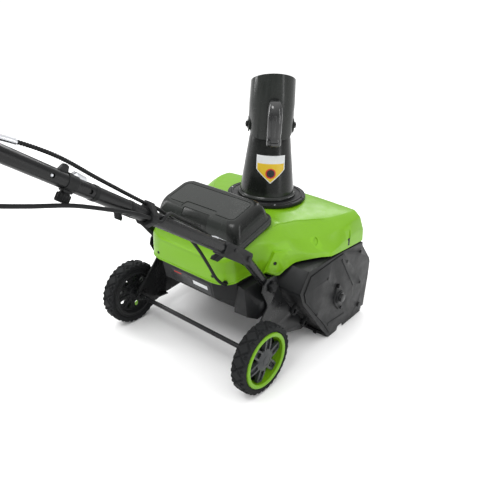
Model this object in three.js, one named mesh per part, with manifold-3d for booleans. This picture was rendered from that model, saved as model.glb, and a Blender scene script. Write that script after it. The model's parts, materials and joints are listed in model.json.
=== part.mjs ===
// Walk-behind battery snow thrower: a 510 mm single-stage auger head on two wheels, with a turning
// discharge chute, a tilting deflector, a hinged battery cover and a folding tubular handle.
// Millimetres. X to the operator's right, Y forward, Z up. Inside the machine group, y is measured
// from the wheel axle and z from the ground; the group is then moved so that the finished part has
// its origin under the middle of the scraper bar.
import * as THREE from "three";
import { mergeVertices } from "three/addons/utils/BufferGeometryUtils.js";
import { ConvexGeometry } from "three/addons/geometries/ConvexGeometry.js";
import Module from "manifold-3d";

// ---------------------------------------------------------------- driving dimensions
const GAP = 0.3; // clearance left between pieces that touch
const SCRAPER_Y = 315; // middle of the scraper bar, ahead of the axle
const HEAD_HALF = 262; // half the width between the side plates
const PLATE = 3; // side plate thickness
const AUGER = { y: 333, z: 126, r: 87 };
const SCROLL_R = 93; // inside radius of the auger chamber
const SHEET = 2.4; // moulded wall thickness of the auger chamber
const WHEEL = { r: 95, half: 22, track: 249 };
const WHEEL_SIDES = 24;
const AXLE_R = 6.5;
const BRACKET_X = 208; // inner face of each wheel bracket
const BRACKET_T = 4;
const MOTOR = { y: 188, z: 212, r: 29 };
const PULLEY = { big: 58, small: 12, x: -279, half: 8 };
const COLLAR = { y: 333, z: 379, r: 114, t: 10, tilt: 3.7 };
const NECK_R = 74;
const CHUTE_TURN = 43.5; // the chute's turn at rest, left of straight ahead
const DEFLECTOR_Z = 200.5; // height of the deflector pivots above the collar
const DEFLECTOR_R = 63;
const TUBE_X = 195; // half the distance between the handle tubes
const LOWER_R = 12.5;
const UPPER_R = 14;
const PIVOT = { y: 86, z: 252 }; // lower handle on its bracket
const FOLD = { y: -3, z: 369 }; // fold joint of the handle
const HANDLE_RISE = 35.9; // slope of the upper handle, degrees
const HANDLE_RUN = 985; // fold joint to the middle of the hand grip bend
const BATTERY = { y0: 34, y1: 148, half: 50, z0: 285, z1: 388 };
const BAY = { half: 56, y0: 30, y1: 152, floor: 284 };
const DECK = { y: 28, z: 346.5, slope: 14.5 }; // rear edge of the battery cover's seat, and its slope
const HINGE = { y: 166, z: 9, pin: 2.6 }; // cover hinge, up the slope and square to it

const rad = THREE.MathUtils.degToRad;
// Where a place on the sloping deck lies in y and z.
const deckPoint = (up, out) => [
  DECK.y + up * Math.cos(rad(DECK.slope)) - out * Math.sin(rad(DECK.slope)),
  DECK.z + up * Math.sin(rad(DECK.slope)) + out * Math.cos(rad(DECK.slope)),
];
const wasm = await Module();
wasm.setup();

// ---------------------------------------------------------------- materials
const finish = (color, roughness, metalness = 0) =>
  new THREE.MeshStandardMaterial({ color, roughness, metalness });
const MATERIAL = {
  green: finish(0x86c81f, 0.32),
  black: finish(0x27292a, 0.5),
  satin: finish(0x2b2f2d, 0.36),
  paint: finish(0x1f2122, 0.42, 0.2),
  tyre: finish(0x2a2c2d, 0.85),
  grey: finish(0x45484a, 0.5),
  rubber: finish(0x17181a, 0.8),
  steel: finish(0xb9bcc0, 0.28, 0.9),
  auger: finish(0x2a2b2d, 0.4, 0.4),
};

// ---------------------------------------------------------------- solids
function toManifold(geometry) {
  const bare = geometry.index ? geometry.toNonIndexed() : geometry.clone();
  for (const name of Object.keys(bare.attributes)) {
    if (name !== "position") bare.deleteAttribute(name);
  }
  const merged = mergeVertices(bare, 1e-4);
  return new wasm.Manifold(new wasm.Mesh({
    numProp: 3,
    vertProperties: new Float32Array(merged.attributes.position.array),
    triVerts: new Uint32Array(merged.index.array),
  }));
}

function toGeometry(solid) {
  const mesh = solid.simplify(0.02).getMesh();
  const geometry = new THREE.BufferGeometry();
  geometry.setAttribute("position", new THREE.BufferAttribute(mesh.vertProperties, 3));
  geometry.setIndex(new THREE.BufferAttribute(mesh.triVerts, 1));
  return geometry;
}

const join = (first, ...rest) =>
  toGeometry(rest.reduce((sum, item) => sum.add(toManifold(item)), toManifold(first)));
const cut = (first, ...rest) =>
  toGeometry(rest.reduce((sum, item) => sum.subtract(toManifold(item)), toManifold(first)));

// Rings of points, one behind the next, joined into one closed solid with a fan at each end. A side
// listed in turned is split along its other diagonal.
function capped(rings, turned = []) {
  const count = rings[0].length;
  const index = [];
  for (let ring = 0; ring < rings.length - 1; ring += 1) {
    for (let step = 0; step < count; step += 1) {
      const a = ring * count + step;
      const b = ring * count + ((step + 1) % count);
      const [c, d] = [b + count, a + count];
      if (turned.includes(step)) index.push(a, b, d, b, c, d);
      else index.push(a, b, c, a, c, d);
    }
  }
  const last = (rings.length - 1) * count;
  for (let step = 1; step < count - 1; step += 1) {
    index.push(0, step + 1, step, last, last + step, last + step + 1);
  }
  const geometry = new THREE.BufferGeometry();
  geometry.setAttribute("position", new THREE.Float32BufferAttribute(rings.flat(2), 3));
  geometry.setIndex(index);
  return outward(geometry);
}

// Turns a closed surface's faces to point out.
function outward(geometry) {
  const position = geometry.attributes.position;
  const corner = (vertex) => new THREE.Vector3().fromBufferAttribute(position, vertex);
  const index = Array.from(geometry.index.array);
  let volume = 0;
  for (let face = 0; face < index.length; face += 3) {
    volume += corner(index[face]).dot(corner(index[face + 1]).cross(corner(index[face + 2])));
  }
  if (volume < 0) geometry.setIndex(index.reverse());
  return geometry;
}

// A round bar that bends through points, with flat ends.
function bentBar(points, radius, sides) {
  const centres = points.map((point) => new THREE.Vector3(...point));
  let across = new THREE.Vector3(0, 0, 1);
  return capped(centres.map((centre, step) => {
    const before = centres[Math.max(step - 1, 0)];
    const after = centres[Math.min(step + 1, centres.length - 1)];
    const ahead = after.clone().sub(before).normalize();
    across = across.clone().addScaledVector(ahead, -across.dot(ahead)).normalize();
    const beside = new THREE.Vector3().crossVectors(ahead, across);
    return Array.from({ length: sides }, (_, side) => {
      const angle = (side / sides) * 2 * Math.PI;
      return centre.clone().addScaledVector(across, radius * Math.cos(angle))
        .addScaledVector(beside, radius * Math.sin(angle)).toArray();
    });
  }));
}

const outline = (points) => new THREE.Shape(points.map(([u, v]) => new THREE.Vector2(u, v)));
const hull = (points) => new ConvexGeometry(points.map(([x, y, z]) => new THREE.Vector3(x, y, z)));

// An outline in (y, z), extruded from x0 to x1.
function slabX(points, x0, x1) {
  const solid = new THREE.ExtrudeGeometry(outline(points), { depth: x1 - x0, bevelEnabled: false });
  const turn = new THREE.Matrix4().makeBasis(
    new THREE.Vector3(0, 1, 0), new THREE.Vector3(0, 0, 1), new THREE.Vector3(1, 0, 0));
  return solid.applyMatrix4(turn).translate(x0, 0, 0);
}

const box = (x0, x1, y0, y1, z0, z1) =>
  new THREE.BoxGeometry(x1 - x0, y1 - y0, z1 - z0)
    .translate((x0 + x1) / 2, (y0 + y1) / 2, (z0 + z1) / 2);

// A profile of (radius, distance) pairs turned about an axis along X.
function latheX(profile, y, z, segments = 24) {
  const points = profile.map(([radius, along]) => new THREE.Vector2(radius, along));
  return new THREE.LatheGeometry(points, segments).rotateZ(-Math.PI / 2).translate(0, y, z);
}

// The same about an axis along Z.
function latheZ(profile, segments = 40) {
  const points = profile.map(([radius, along]) => new THREE.Vector2(radius, along));
  return new THREE.LatheGeometry(points, segments).rotateX(Math.PI / 2);
}

const drumX = (radius, x0, x1, y, z, segments = 16) =>
  latheX([[0, x0], [radius, x0], [radius, x1], [0, x1]], y, z, segments);
const pipeX = (inner, outer, x0, x1, y, z, segments = 16) =>
  latheX([[inner, x0], [outer, x0], [outer, x1], [inner, x1], [inner, x0]], y, z, segments);

// A round bar between two points.
function bar(from, to, radius, segments = 12) {
  const a = new THREE.Vector3(...from);
  const b = new THREE.Vector3(...to);
  const solid = new THREE.CylinderGeometry(radius, radius, a.distanceTo(b), segments);
  const turn = new THREE.Quaternion().setFromUnitVectors(
    new THREE.Vector3(0, 1, 0), b.clone().sub(a).normalize());
  return solid.applyQuaternion(turn).translate((a.x + b.x) / 2, (a.y + b.y) / 2, (a.z + b.z) / 2);
}

// A round tube along a smooth curve through points.
function cordTube(points, radius, sides, steps) {
  const path = new THREE.CatmullRomCurve3(points.map((p) => new THREE.Vector3(...p)), false, "centripetal");
  const ring = Array.from({ length: sides }, (_, side) => {
    const angle = (side / sides) * 2 * Math.PI;
    return [radius * Math.cos(angle), radius * Math.sin(angle)];
  });
  return new THREE.ExtrudeGeometry(outline(ring), { steps, bevelEnabled: false, extrudePath: path });
}

const mirrorX = (geometry) => {
  const flipped = geometry.clone().scale(-1, 1, 1);
  const bare = flipped.index ? flipped.toNonIndexed() : flipped;
  const position = bare.attributes.position;
  for (let vertex = 0; vertex < position.count; vertex += 3) {
    const [x, y, z] = [position.getX(vertex), position.getY(vertex), position.getZ(vertex)];
    position.setXYZ(vertex, position.getX(vertex + 1), position.getY(vertex + 1), position.getZ(vertex + 1));
    position.setXYZ(vertex + 1, x, y, z);
  }
  return bare;
};

// ---------------------------------------------------------------- the scene
const object = new THREE.Group();
const machine = new THREE.Group();
machine.position.y = -SCRAPER_Y;
object.add(machine);

function place(parent, name, geometry, material) {
  const mesh = new THREE.Mesh(geometry, MATERIAL[material]);
  mesh.name = name;
  parent.add(mesh);
  return mesh;
}

// ---------------------------------------------------------------- auger housing
const BRACKET_BOLTS = [[184, 131], [243, 60]];
const LUG = { x0: 212.4, x1: 222 }; // lugs behind the chamber that the wheel brackets bolt to
const REAR_SKIN = [
  [297, 12], [255, 68], [194, 138], [146, 211], [143, 220], [150, 234], [180, 272], [281, 271], [452, 256],
];

function arcPoints(radius, fromDegrees, toDegrees, count) {
  return Array.from({ length: count + 1 }, (_, step) => {
    const angle = rad(fromDegrees + ((toDegrees - fromDegrees) * step) / count);
    return [AUGER.y + radius * Math.cos(angle), AUGER.z + radius * Math.sin(angle)];
  });
}

// The chamber wall wraps the auger from the scraper, round the back, to the roof; the outer skin
// stands off behind it and leaves the space where the motor sits.
function augerHousing() {
  const chamber = [[341, 218.6], ...arcPoints(SCROLL_R, 90, 236, 14), [304, 15], [331, 15], [331, 12]];
  const section = [...REAR_SKIN, [452, 249], ...chamber];
  const hollow = [
    [229, 106], [197, 140], [149, 212], [146.5, 219.5], [152.8, 231], [181.5, 268.8], [281, 267.8],
    [400, 257], [400, 238.4], [341, 222], ...arcPoints(SCROLL_R + SHEET, 90, 190, 10),
  ];
  const lugs = [
    slabX([[206, 127], [184, 116], [172, 132], [192, 150]], LUG.x0, LUG.x1),
    slabX([[262, 62], [240, 46], [228, 62], [246, 84]], LUG.x0, LUG.x1),
  ];
  const body = join(slabX(section, -HEAD_HALF, HEAD_HALF), ...lugs, ...lugs.map((lug) => mirrorX(lug)));
  const cavity = slabX(hollow, -HEAD_HALF - 5, HEAD_HALF + 5);
  const bolts = BRACKET_BOLTS.flatMap(([y, z]) =>
    [drumX(7.2, BRACKET_X, 230, y, z, 16), drumX(7.2, -230, -BRACKET_X, y, z, 16)]);
  const throat = latheZ([[0, 0], [NECK_R + GAP, 0], [NECK_R + GAP, 200], [0, 200]], 32);
  return cut(body, cavity, throat.translate(0, COLLAR.y, 150), ...bolts);
}

const PLATE_OUTLINE = [
  [301, 0], [345, 0], [349, 12], [375, 12], [379, 0], [467, 0], [480, 0], [486, 15], [498, 15], [509, 110],
  [512, 165], [506, 180], [456, 242], [454, 254], [346, 266], [288, 269], [178, 274], [150, 236],
  [141, 222], [157, 182], [200, 127], [263, 45],
];
// The raised panel that stiffens the plate around the auger bearing.
const PANEL_OUTLINE = [
  [346, 260], [430, 165], [478, 105], [462, 40], [415, 18], [300, 16], [268, 62], [212, 130], [168, 184],
  [158, 214], [186, 256], [287, 260],
];
const PLATE_SCREWS = [[270, 213], [226, 117], [369, 225], [456, 118], [444, 227]];

function sidePlate() {
  const inner = HEAD_HALF + GAP;
  const plate = slabX(PLATE_OUTLINE, inner, inner + PLATE);
  const panel = slabX(PANEL_OUTLINE, inner + PLATE / 2, inner + PLATE + 3);
  const rib = hull([[inner + 4, 333, 244], [inner + 4, 340, 249], [inner + 4, 419, 130], [inner + 4, 412, 125],
    [inner + 8, 335, 243], [inner + 8, 339, 246], [inner + 8, 417, 130], [inner + 8, 413, 127]]);
  const foot = hull([[inner + 4, 284, 46], [inner + 4, 376, 38], [inner + 4, 376, 54], [inner + 4, 278, 62],
    [inner + 8, 287, 49], [inner + 8, 372, 41], [inner + 8, 372, 50], [inner + 8, 284, 58]]);
  const screws = PLATE_SCREWS.map(([y, z]) => drumX(4.5, inner + 1, inner + PLATE + 4.4, y, z, 10));
  const bolt = drumX(8, inner + 1, inner + PLATE + 7, 459, 37, 6);
  const shaftHole = drumX(12, inner - 5, inner + 20, AUGER.y, AUGER.z, 24);
  return cut(join(plate, panel, rib, foot, bolt, ...screws), shaftHole);
}

// The left plate is plain where the belt cover stands, and lets the motor shaft through.
function beltPlate() {
  const inner = HEAD_HALF + GAP;
  const plate = mirrorX(slabX(PLATE_OUTLINE, inner, inner + PLATE));
  const shaftHole = drumX(12, -inner - 9, -inner + 5, AUGER.y, AUGER.z, 24);
  const motorHole = drumX(8, -inner - 9, -inner + 5, MOTOR.y, MOTOR.z, 16);
  return cut(plate, shaftHole, motorHole);
}

const COVER_OUTLINE = [
  [330, 34], [390, 60], [424, 120], [404, 190], [352, 222], [200, 252], [160, 222], [160, 200], [245, 70],
];

function beltCover() {
  const inner = -HEAD_HALF - PLATE - 2 * GAP;
  const shell = slabX(COVER_OUTLINE, inner - 32, inner);
  const wall = COVER_OUTLINE.map(([y, z]) => [310 + (y - 310) * 0.95, 140 + (z - 140) * 0.94]);
  return cut(shell, slabX(wall, inner - 29, inner + 5));
}

function bearingFlange() {
  const inner = HEAD_HALF + PLATE + 3 + 2 * GAP;
  const ears = [[AUGER.y - 10, AUGER.z + 40], [AUGER.y + 10, AUGER.z - 40]];
  const plate = hull([
    ...ears.flatMap(([y, z]) => [[inner, y - 8, z - 4], [inner, y + 8, z + 4], [inner + 4, y - 7, z - 4],
      [inner + 4, y + 7, z + 4]]),
    [inner, AUGER.y - 27, AUGER.z], [inner, AUGER.y + 27, AUGER.z], [inner, AUGER.y - 20, AUGER.z - 20],
    [inner, AUGER.y + 20, AUGER.z + 20], [inner + 4, AUGER.y - 25, AUGER.z], [inner + 4, AUGER.y + 25, AUGER.z],
    [inner + 4, AUGER.y - 18, AUGER.z - 19], [inner + 4, AUGER.y + 18, AUGER.z + 19],
  ]);
  const boss = drumX(20, inner, inner + 8, AUGER.y, AUGER.z, 24);
  const bolts = ears.map(([y, z]) => drumX(5, inner + 1, inner + 8, y, z, 6));
  return cut(join(plate, boss, ...bolts), drumX(10.4, inner - 1, inner + 20, AUGER.y, AUGER.z, 24));
}

// ---------------------------------------------------------------- scraper
function scraperBar() {
  const blade = [[297, 0], [331, 0], [333, 3], [333, 9.5], [297.5, 9.5], [293, 15.5], [289.5, 15.5], [293, 4]];
  const heads = [-225, 0, 225].map((x) => bar([x, 294, 7], [x, 287, 6], 6, 8));
  return join(slabX(blade, -HEAD_HALF + 1, HEAD_HALF - 1), ...heads);
}

// ---------------------------------------------------------------- hood
// Half sections of the hood from the top centre out and down to its lower edge, by distance y.
const HOOD_STATIONS = [
  [-13, [0, 330], [50, 330], [86, 329], [93, 322], [96, 300], [97, 264]],
  [-8, [0, 334], [60, 334], [108, 333], [116, 325], [118, 300], [118, 264]],
  [4, [0, 338], [70, 338], [126, 337], [134, 328], [136, 300], [136, 264]],
  [24, [0, 344], [75, 344], [136, 342], [144, 334], [146, 300], [146, 264]],
  [60, [0, 353], [75, 353], [139, 351], [147, 342], [148, 300], [147, 264]],
  [100, [0, 363], [75, 363], [141, 360], [152, 345], [154, 300], [152, 262]],
  [124, [0, 369], [80, 369], [144, 365], [162, 342], [172, 296], [174, 257]],
  [141, [0, 373.5], [80, 373], [147, 368], [172, 340], [190, 290], [192, 252]],
  [158, [0, 378], [80, 377], [149, 371], [178, 340], [201, 295], [204, 268]],
  [190, [0, 385], [80, 383], [152, 373], [190, 340], [213, 303], [216, 281]],
  [219, [0, 377], [82, 375.5], [156, 367.5], [199, 333], [228, 298], [231, 281.5]],
  [250, [0, 374.5], [85, 372.8], [160, 363], [209, 327], [243, 292], [247, 280.5]],
  [291, [0, 372], [95, 369], [180, 358], [229, 325], [262, 289], [265, 275.5]],
  [346, [0, 369], [115, 366], [216, 356], [252, 334], [265, 297], [265, 269.5]],
  [400, [0, 366], [120, 365], [236, 358], [258, 342], [266, 305], [265, 265]],
  [436, [0, 361], [120, 360], [238, 355], [257, 338], [266, 303], [265, 262]],
  [451, [0, 346], [115, 345], [230, 341], [252, 327], [264, 298], [265, 261]],
  [456, [0, 320], [110, 319], [222, 316], [246, 303], [260, 284], [262, 260]],
];
const HOOD_WALL = 3;

const mirrorHalf = (half) => [...half, ...half.slice(1).reverse().map(([x, z]) => [-x, z])];
const ringAt = (y, half) => mirrorHalf(half).map(([x, z]) => [x, y, z]);

function hood() {
  const outer = capped(HOOD_STATIONS.map(([y, ...half]) => ringAt(y, half)));
  const inner = capped(HOOD_STATIONS.map(([y, ...half], index) => {
    const last = HOOD_STATIONS.length - 1;
    const shift = index === 0 ? HOOD_WALL : index === last ? -HOOD_WALL : 0;
    const inset = half.map(([x, z], point) => {
      const drop = point === half.length - 1 ? 30 : HOOD_WALL;
      return [Math.max(0, x - (point === 0 ? 0 : HOOD_WALL)), z - drop];
    });
    return ringAt(y + shift, inset);
  }));
  const throat = latheZ([[0, -80], [NECK_R + 2, -80], [NECK_R + 2, 60], [0, 60]], 32)
    .rotateX(rad(-COLLAR.tilt)).translate(0, COLLAR.y, COLLAR.z);
  const seat = latheZ([[0, -COLLAR.t - GAP], [COLLAR.r + 1, -COLLAR.t - GAP], [COLLAR.r + 1, 60], [0, 60]], 36)
    .rotateX(rad(-COLLAR.tilt)).translate(0, COLLAR.y, COLLAR.z);
  const bay = box(-BAY.half - 3.5, BAY.half + 3.5, BAY.y0 - 3.5, BAY.y1 + 3.5, 300, 400);
  const grommetHole = bar(alongGrommet(-12), alongGrommet(20), GROMMET.r - 1.2, 16);
  const glandHole = drumX(GLAND.r - 1.2, 120, 170, GLAND.y, GLAND.z, 16);
  const shell = cut(outer, inner, throat, seat, bay, grommetHole, glandHole);
  const [pinY, pinZ] = deckPoint(HINGE.y, HINGE.z);
  const ears = [-98, 90].map((x) =>
    slabX([[184, 376], [198, 375], [193, pinZ], [190, pinZ + 4.5], [183, pinZ + 4.5], [181.5, pinZ]], x, x + 8));
  return join(shell, drumX(HINGE.pin, -96, 96, pinY, pinZ, 12), ...ears);
}

// ---------------------------------------------------------------- belly, battery bay and motor
const GROMMET = { x: 130, y: 2, z: 272, r: 7 };

// The underside pan, with the controller pod on its right beside the bracket.
function belly() {
  const shell = hull([
    [-92, -8, 262], [92, -8, 262], [-142, 34, 262], [142, 34, 262], [-142, 138, 262], [142, 138, 262],
    [-92, 4, 205], [92, 4, 205], [-139, 38, 205], [139, 38, 205], [-139, 138, 205], [139, 138, 205],
    [-84, 34, 180], [110, 34, 180], [-116, 60, 160], [136, 60, 160], [-116, 95, 134], [136, 95, 134],
    [-116, 138, 132], [136, 138, 132],
  ]);
  const pod = hull([
    [132, 40, 250], [168, 32, 248], [168, 134, 250], [132, 136, 250], [203, 60, 214], [203, 134, 214],
    [198, 46, 208], [132, 34, 166], [178, 32, 170], [196, 52, 162], [196, 134, 162], [132, 136, 152],
    [203, 62, 190], [203, 134, 190],
  ]);
  const cavity = hull([
    [-88, 0, 280], [88, 0, 280], [-137, 40, 280], [137, 40, 280], [-137, 133, 280], [137, 133, 280],
    [-80, 40, 190], [100, 40, 190], [-110, 64, 170], [130, 64, 170], [-110, 98, 144], [130, 98, 144],
    [-110, 133, 142], [130, 133, 142],
  ]);
  return cut(join(shell, pod), cavity);
}

function batteryBay() {
  const wall = 3;
  const tub = box(-BAY.half - wall, BAY.half + wall, BAY.y0 - wall, BAY.y1 + wall, BAY.floor - wall, 368);
  const inside = box(-BAY.half, BAY.half, BAY.y0, BAY.y1, BAY.floor, 400);
  const slope = hull([
    [-90, BAY.y0 - 20, 341], [90, BAY.y0 - 20, 341], [-90, BAY.y1 + 20, 384], [90, BAY.y1 + 20, 384],
    [-90, BAY.y0 - 20, 460], [90, BAY.y0 - 20, 460], [-90, BAY.y1 + 20, 460], [90, BAY.y1 + 20, 460],
  ]);
  const rails = [-1, 1].map((side) =>
    box(side * BAY.half - 4, side * BAY.half + 4, 60, 70, BAY.floor - 1, 340));
  return cut(join(cut(tub, inside), ...rails), slope);
}

function batteryPack() {
  const { half, y0, y1, z0, z1 } = BATTERY;
  const block = hull([-1, 1].flatMap((side) => [
    [side * half, y0 + 6, z0], [side * half, y1 - 6, z0], [side * (half - 6), y0, z0], [side * (half - 6), y1, z0],
    [side * half, y0 + 6, z1 - 8], [side * half, y1 - 6, z1 - 8], [side * (half - 6), y0, z1 - 8],
    [side * (half - 6), y1, z1 - 8], [side * (half - 8), y0 + 8, z1], [side * (half - 8), y1 - 8, z1],
  ]));
  const grip = box(-half - 5, half + 5, y0 - 5, y0 + 10, z1 - 26, z1 - 12);
  return cut(block, grip, box(-14 - GAP, 14 + GAP, y0 + 20, y0 + 44, z1 - 5, z1 + 5));
}

function motorCan() {
  const can = latheX([[0, -228], [9, -228], [9, -224], [MOTOR.r - 3, -224], [MOTOR.r, -220], [MOTOR.r, -128],
    [MOTOR.r - 4, -122], [0, -122]], MOTOR.y, MOTOR.z, 24);
  return cut(can, drumX(5, -230, -215, MOTOR.y, MOTOR.z, 16));
}

function motorPulley() {
  const { small, x, half } = PULLEY;
  return latheX([[0, -217], [4.4, -217], [4.4, x + half], [small + 2, x + half], [small + 2, x + half - 1.5],
    [small, x + half - 1.5], [small, x - half + 1.5], [small + 2, x - half + 1.5], [small + 2, x - half],
    [0, x - half]].reverse(), MOTOR.y, MOTOR.z, 16);
}

function augerPulley() {
  const { big, x, half } = PULLEY;
  const wheel = latheX([[10.4, x - half], [big + 2, x - half], [big + 2, x - half + 1.5], [big, x - half + 1.5],
    [big, x + half - 1.5], [big + 2, x + half - 1.5], [big + 2, x + half], [10.4, x + half],
    [10.4, x - half]], AUGER.y, AUGER.z, 28);
  const windows = Array.from({ length: 5 }, (_, step) => {
    const angle = (step / 5) * 2 * Math.PI;
    return drumX(11, x - 20, x + 20, AUGER.y + 36 * Math.cos(angle), AUGER.z + 36 * Math.sin(angle), 8);
  });
  return cut(wheel, ...windows);
}

// A flat belt round both pulleys: the outer line of two circles and their outer tangents.
function beltLine(grow) {
  const reach = Math.hypot(AUGER.y - MOTOR.y, AUGER.z - MOTOR.z);
  const heading = Math.atan2(AUGER.z - MOTOR.z, AUGER.y - MOTOR.y);
  const lean = Math.acos((PULLEY.big - PULLEY.small) / reach);
  const around = (centre, radius, from, to, count) =>
    Array.from({ length: count + 1 }, (_, step) => {
      const angle = heading + from + ((to - from) * step) / count;
      return [centre.y + (radius + grow) * Math.cos(angle), centre.z + (radius + grow) * Math.sin(angle)];
    });
  return [
    ...around(AUGER, PULLEY.big, -(Math.PI - lean), Math.PI - lean, 28),
    ...around(MOTOR, PULLEY.small, Math.PI - lean, Math.PI + lean, 8),
  ];
}

const driveBelt = () =>
  cut(slabX(beltLine(3.4), PULLEY.x - 6, PULLEY.x + 6), slabX(beltLine(0.4), PULLEY.x - 8, PULLEY.x + 8));

// ---------------------------------------------------------------- auger
const FLIGHT = { from: 7, to: 200, reach: 250, inner: 27 }; // degrees round the shaft, and span along it

// One flight: a strip that winds round the shaft from the outer end to the middle.
function flight(side) {
  const steps = 16;
  const rings = Array.from({ length: steps + 1 }, (_, step) => {
    const part = step / steps;
    const angle = rad(FLIGHT.from + (FLIGHT.to - FLIGHT.from) * part);
    const x = side * (FLIGHT.reach - part * (FLIGHT.reach - FLIGHT.inner));
    const radial = [Math.cos(angle), Math.sin(angle)];
    const edge = AUGER.r - 6;
    return [[8, -2.2], [edge, -2.2], [edge, 2.2], [8, 2.2]].map(([radius, shift]) =>
      [x + shift, AUGER.y + radius * radial[0], AUGER.z + radius * radial[1]]);
  });
  return capped(rings, [2]);
}

function augerCore() {
  const end = HEAD_HALF + 15;
  const shaft = drumX(10, PULLEY.x - PULLEY.half - 1, end + 1, AUGER.y, AUGER.z, 20);
  const washer = drumX(16, end, end + 2, AUGER.y, AUGER.z, 20);
  const cap = drumX(13, end + 1, end + 8, AUGER.y, AUGER.z, 6);
  const paddle = hull([-1, 1].flatMap((side) => [
    [side * 34, AUGER.y - 2.5, AUGER.z - AUGER.r], [side * 34, AUGER.y + 2.5, AUGER.z - AUGER.r],
    [side * 34, AUGER.y - 2.5, AUGER.z + AUGER.r], [side * 34, AUGER.y + 2.5, AUGER.z + AUGER.r],
  ]));
  const turned = paddle.translate(0, -AUGER.y, -AUGER.z).rotateX(rad(20)).translate(0, AUGER.y, AUGER.z);
  const hubs = [-1, 1].map((side) =>
    drumX(17, side > 0 ? 225 : -255, side > 0 ? 255 : -225, AUGER.y, AUGER.z, 20));
  return join(shaft, turned, flight(1), flight(-1), ...hubs, washer, cap);
}

// ---------------------------------------------------------------- wheel brackets, axle and wheels
const BRACKET_OUTLINE = [
  [120, 234], [110, 272], [98, 276], [72, 278], [57, 266], [52, 246], [72, 205], [73, 193], [43, 161],
  [-10, 112], [-16, 95], [-10, 82], [5, 79], [40, 64], [57, 52], [97, 62], [165, 66], [233, 40], [254, 42],
  [250, 56], [228, 84], [205, 112], [172, 149], [140, 196],
];

function bracket() {
  const x0 = BRACKET_X;
  const plate = slabX(BRACKET_OUTLINE, x0, x0 + BRACKET_T);
  const boss = drumX(13, x0 - 6, x0 + 9, 0, WHEEL.r, 20);
  const bolts = BRACKET_BOLTS.map(([y, z]) => drumX(6.5, x0 - 5, x0 + BRACKET_T + 5, y, z, 6));
  const flange = hull([[x0 + 1, 60, 66], [x0 + 3, 60, 66], [x0 + 1, 97, 62], [x0 + 3, 97, 62],
    [x0 - 14, 62, 67], [x0 - 14, 95, 63], [x0 - 14, 62, 70], [x0 - 14, 95, 66], [x0 + 3, 60, 70], [x0 + 3, 97, 66]]);
  const stay = hull([[x0 + 1, 122, 176], [x0 + 1, 122, 192], [x0 + 1, 132, 176], [x0 + 1, 132, 192],
    [x0 - 4.4, 122, 176], [x0 - 4.4, 122, 192], [x0 - 4.4, 132, 176], [x0 - 4.4, 132, 192]]);
  const solid = join(plate, boss, flange, stay, ...bolts);
  const axleHole = drumX(AXLE_R + GAP, x0 - 20, x0 + 20, 0, WHEEL.r, 20);
  const pivotHole = drumX(4 + GAP, x0 - 5, x0 + 10, PIVOT.y, PIVOT.z, 16);
  return cut(solid, axleHole, pivotHole);
}

function axle() {
  const end = WHEEL.track + 2;
  return drumX(AXLE_R, -end, end, 0, WHEEL.r, 20);
}

function tyre() {
  const { r, half } = WHEEL;
  return latheX([[77, -half + 4], [84, -half], [90, -half + 3], [93.4, -half + 8], [r, -8], [r, 8],
    [93.4, half - 8], [90, half - 3], [84, half], [77, half - 4], [77, -half + 4]], 0, WHEEL.r, WHEEL_SIDES);
}

// The green rim: a lip at the outer face and a band behind it.
function rim() {
  const { half } = WHEEL;
  return latheX([[65, half - 2], [68, half + 1], [74, half + 1], [76.7, half - 2], [76.7, -4], [63, -4],
    [63, -1], [66, 3], [67, half - 8], [65, half - 2]].reverse(), 0, WHEEL.r, WHEEL_SIDES);
}

// The black inner half of the wheel: a dished disc with round windows and the hub sleeve.
function innerDisc() {
  const { half } = WHEEL;
  const disc = latheX([[AXLE_R + GAP, -12.6], [17, -12.6], [17, -8], [60, -8], [62, -half + 3], [76.7, -half + 5],
    [76.7, -4.3], [20, -4.3], [18, 6], [AXLE_R + GAP, 6], [AXLE_R + GAP, -12.6]], 0, WHEEL.r, WHEEL_SIDES);
  const windows = Array.from({ length: 9 }, (_, step) => {
    const angle = (step / 9) * 2 * Math.PI;
    return drumX(8.5, -30, 0, 44 * Math.cos(angle), WHEEL.r + 44 * Math.sin(angle), 8);
  });
  return cut(disc, ...windows);
}

// The grey outer spider: a domed hub with six channel spokes.
function spider() {
  const hub = latheX([[0, 7], [24, 7], [25, 12], [20, 18], [8, 20.5], [0, 20.5]], 0, 0, 24);
  const arms = Array.from({ length: 6 }, (_, step) => {
    const arm = hull([[2, 21, -10], [15, 21, -10], [2, 21, 10], [15, 21, 10],
      [5, 61.5, -8], [13, 61.5, -8], [5, 61.5, 8], [13, 61.5, 8]]);
    const slot = hull([[6, 28, -5.5], [20, 28, -5.5], [6, 28, 5.5], [20, 28, 5.5], [8, 56, -4.5], [20, 56, -4.5],
      [8, 56, 4.5], [20, 56, 4.5]]);
    return cut(arm, slot).rotateX((step / 6) * 2 * Math.PI + rad(12));
  });
  const boss = drumX(17.6, 6.3, 8, 0, 0, 24);
  return join(hub, boss, ...arms).translate(0, 0, WHEEL.r);
}

function wheel(side) {
  const group = new THREE.Group();
  group.position.x = side * WHEEL.track;
  const name = side > 0 ? "right" : "left";
  const face = (geometry) => (side > 0 ? geometry : mirrorX(geometry));
  place(group, `wheel_tyre_${name}`, face(tyre()), "tyre");
  place(group, `wheel_rim_${name}`, face(rim()), "green");
  place(group, `wheel_disc_${name}`, face(innerDisc()), "black");
  place(group, `wheel_spider_${name}`, face(spider()), "grey");
  return group;
}

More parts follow.
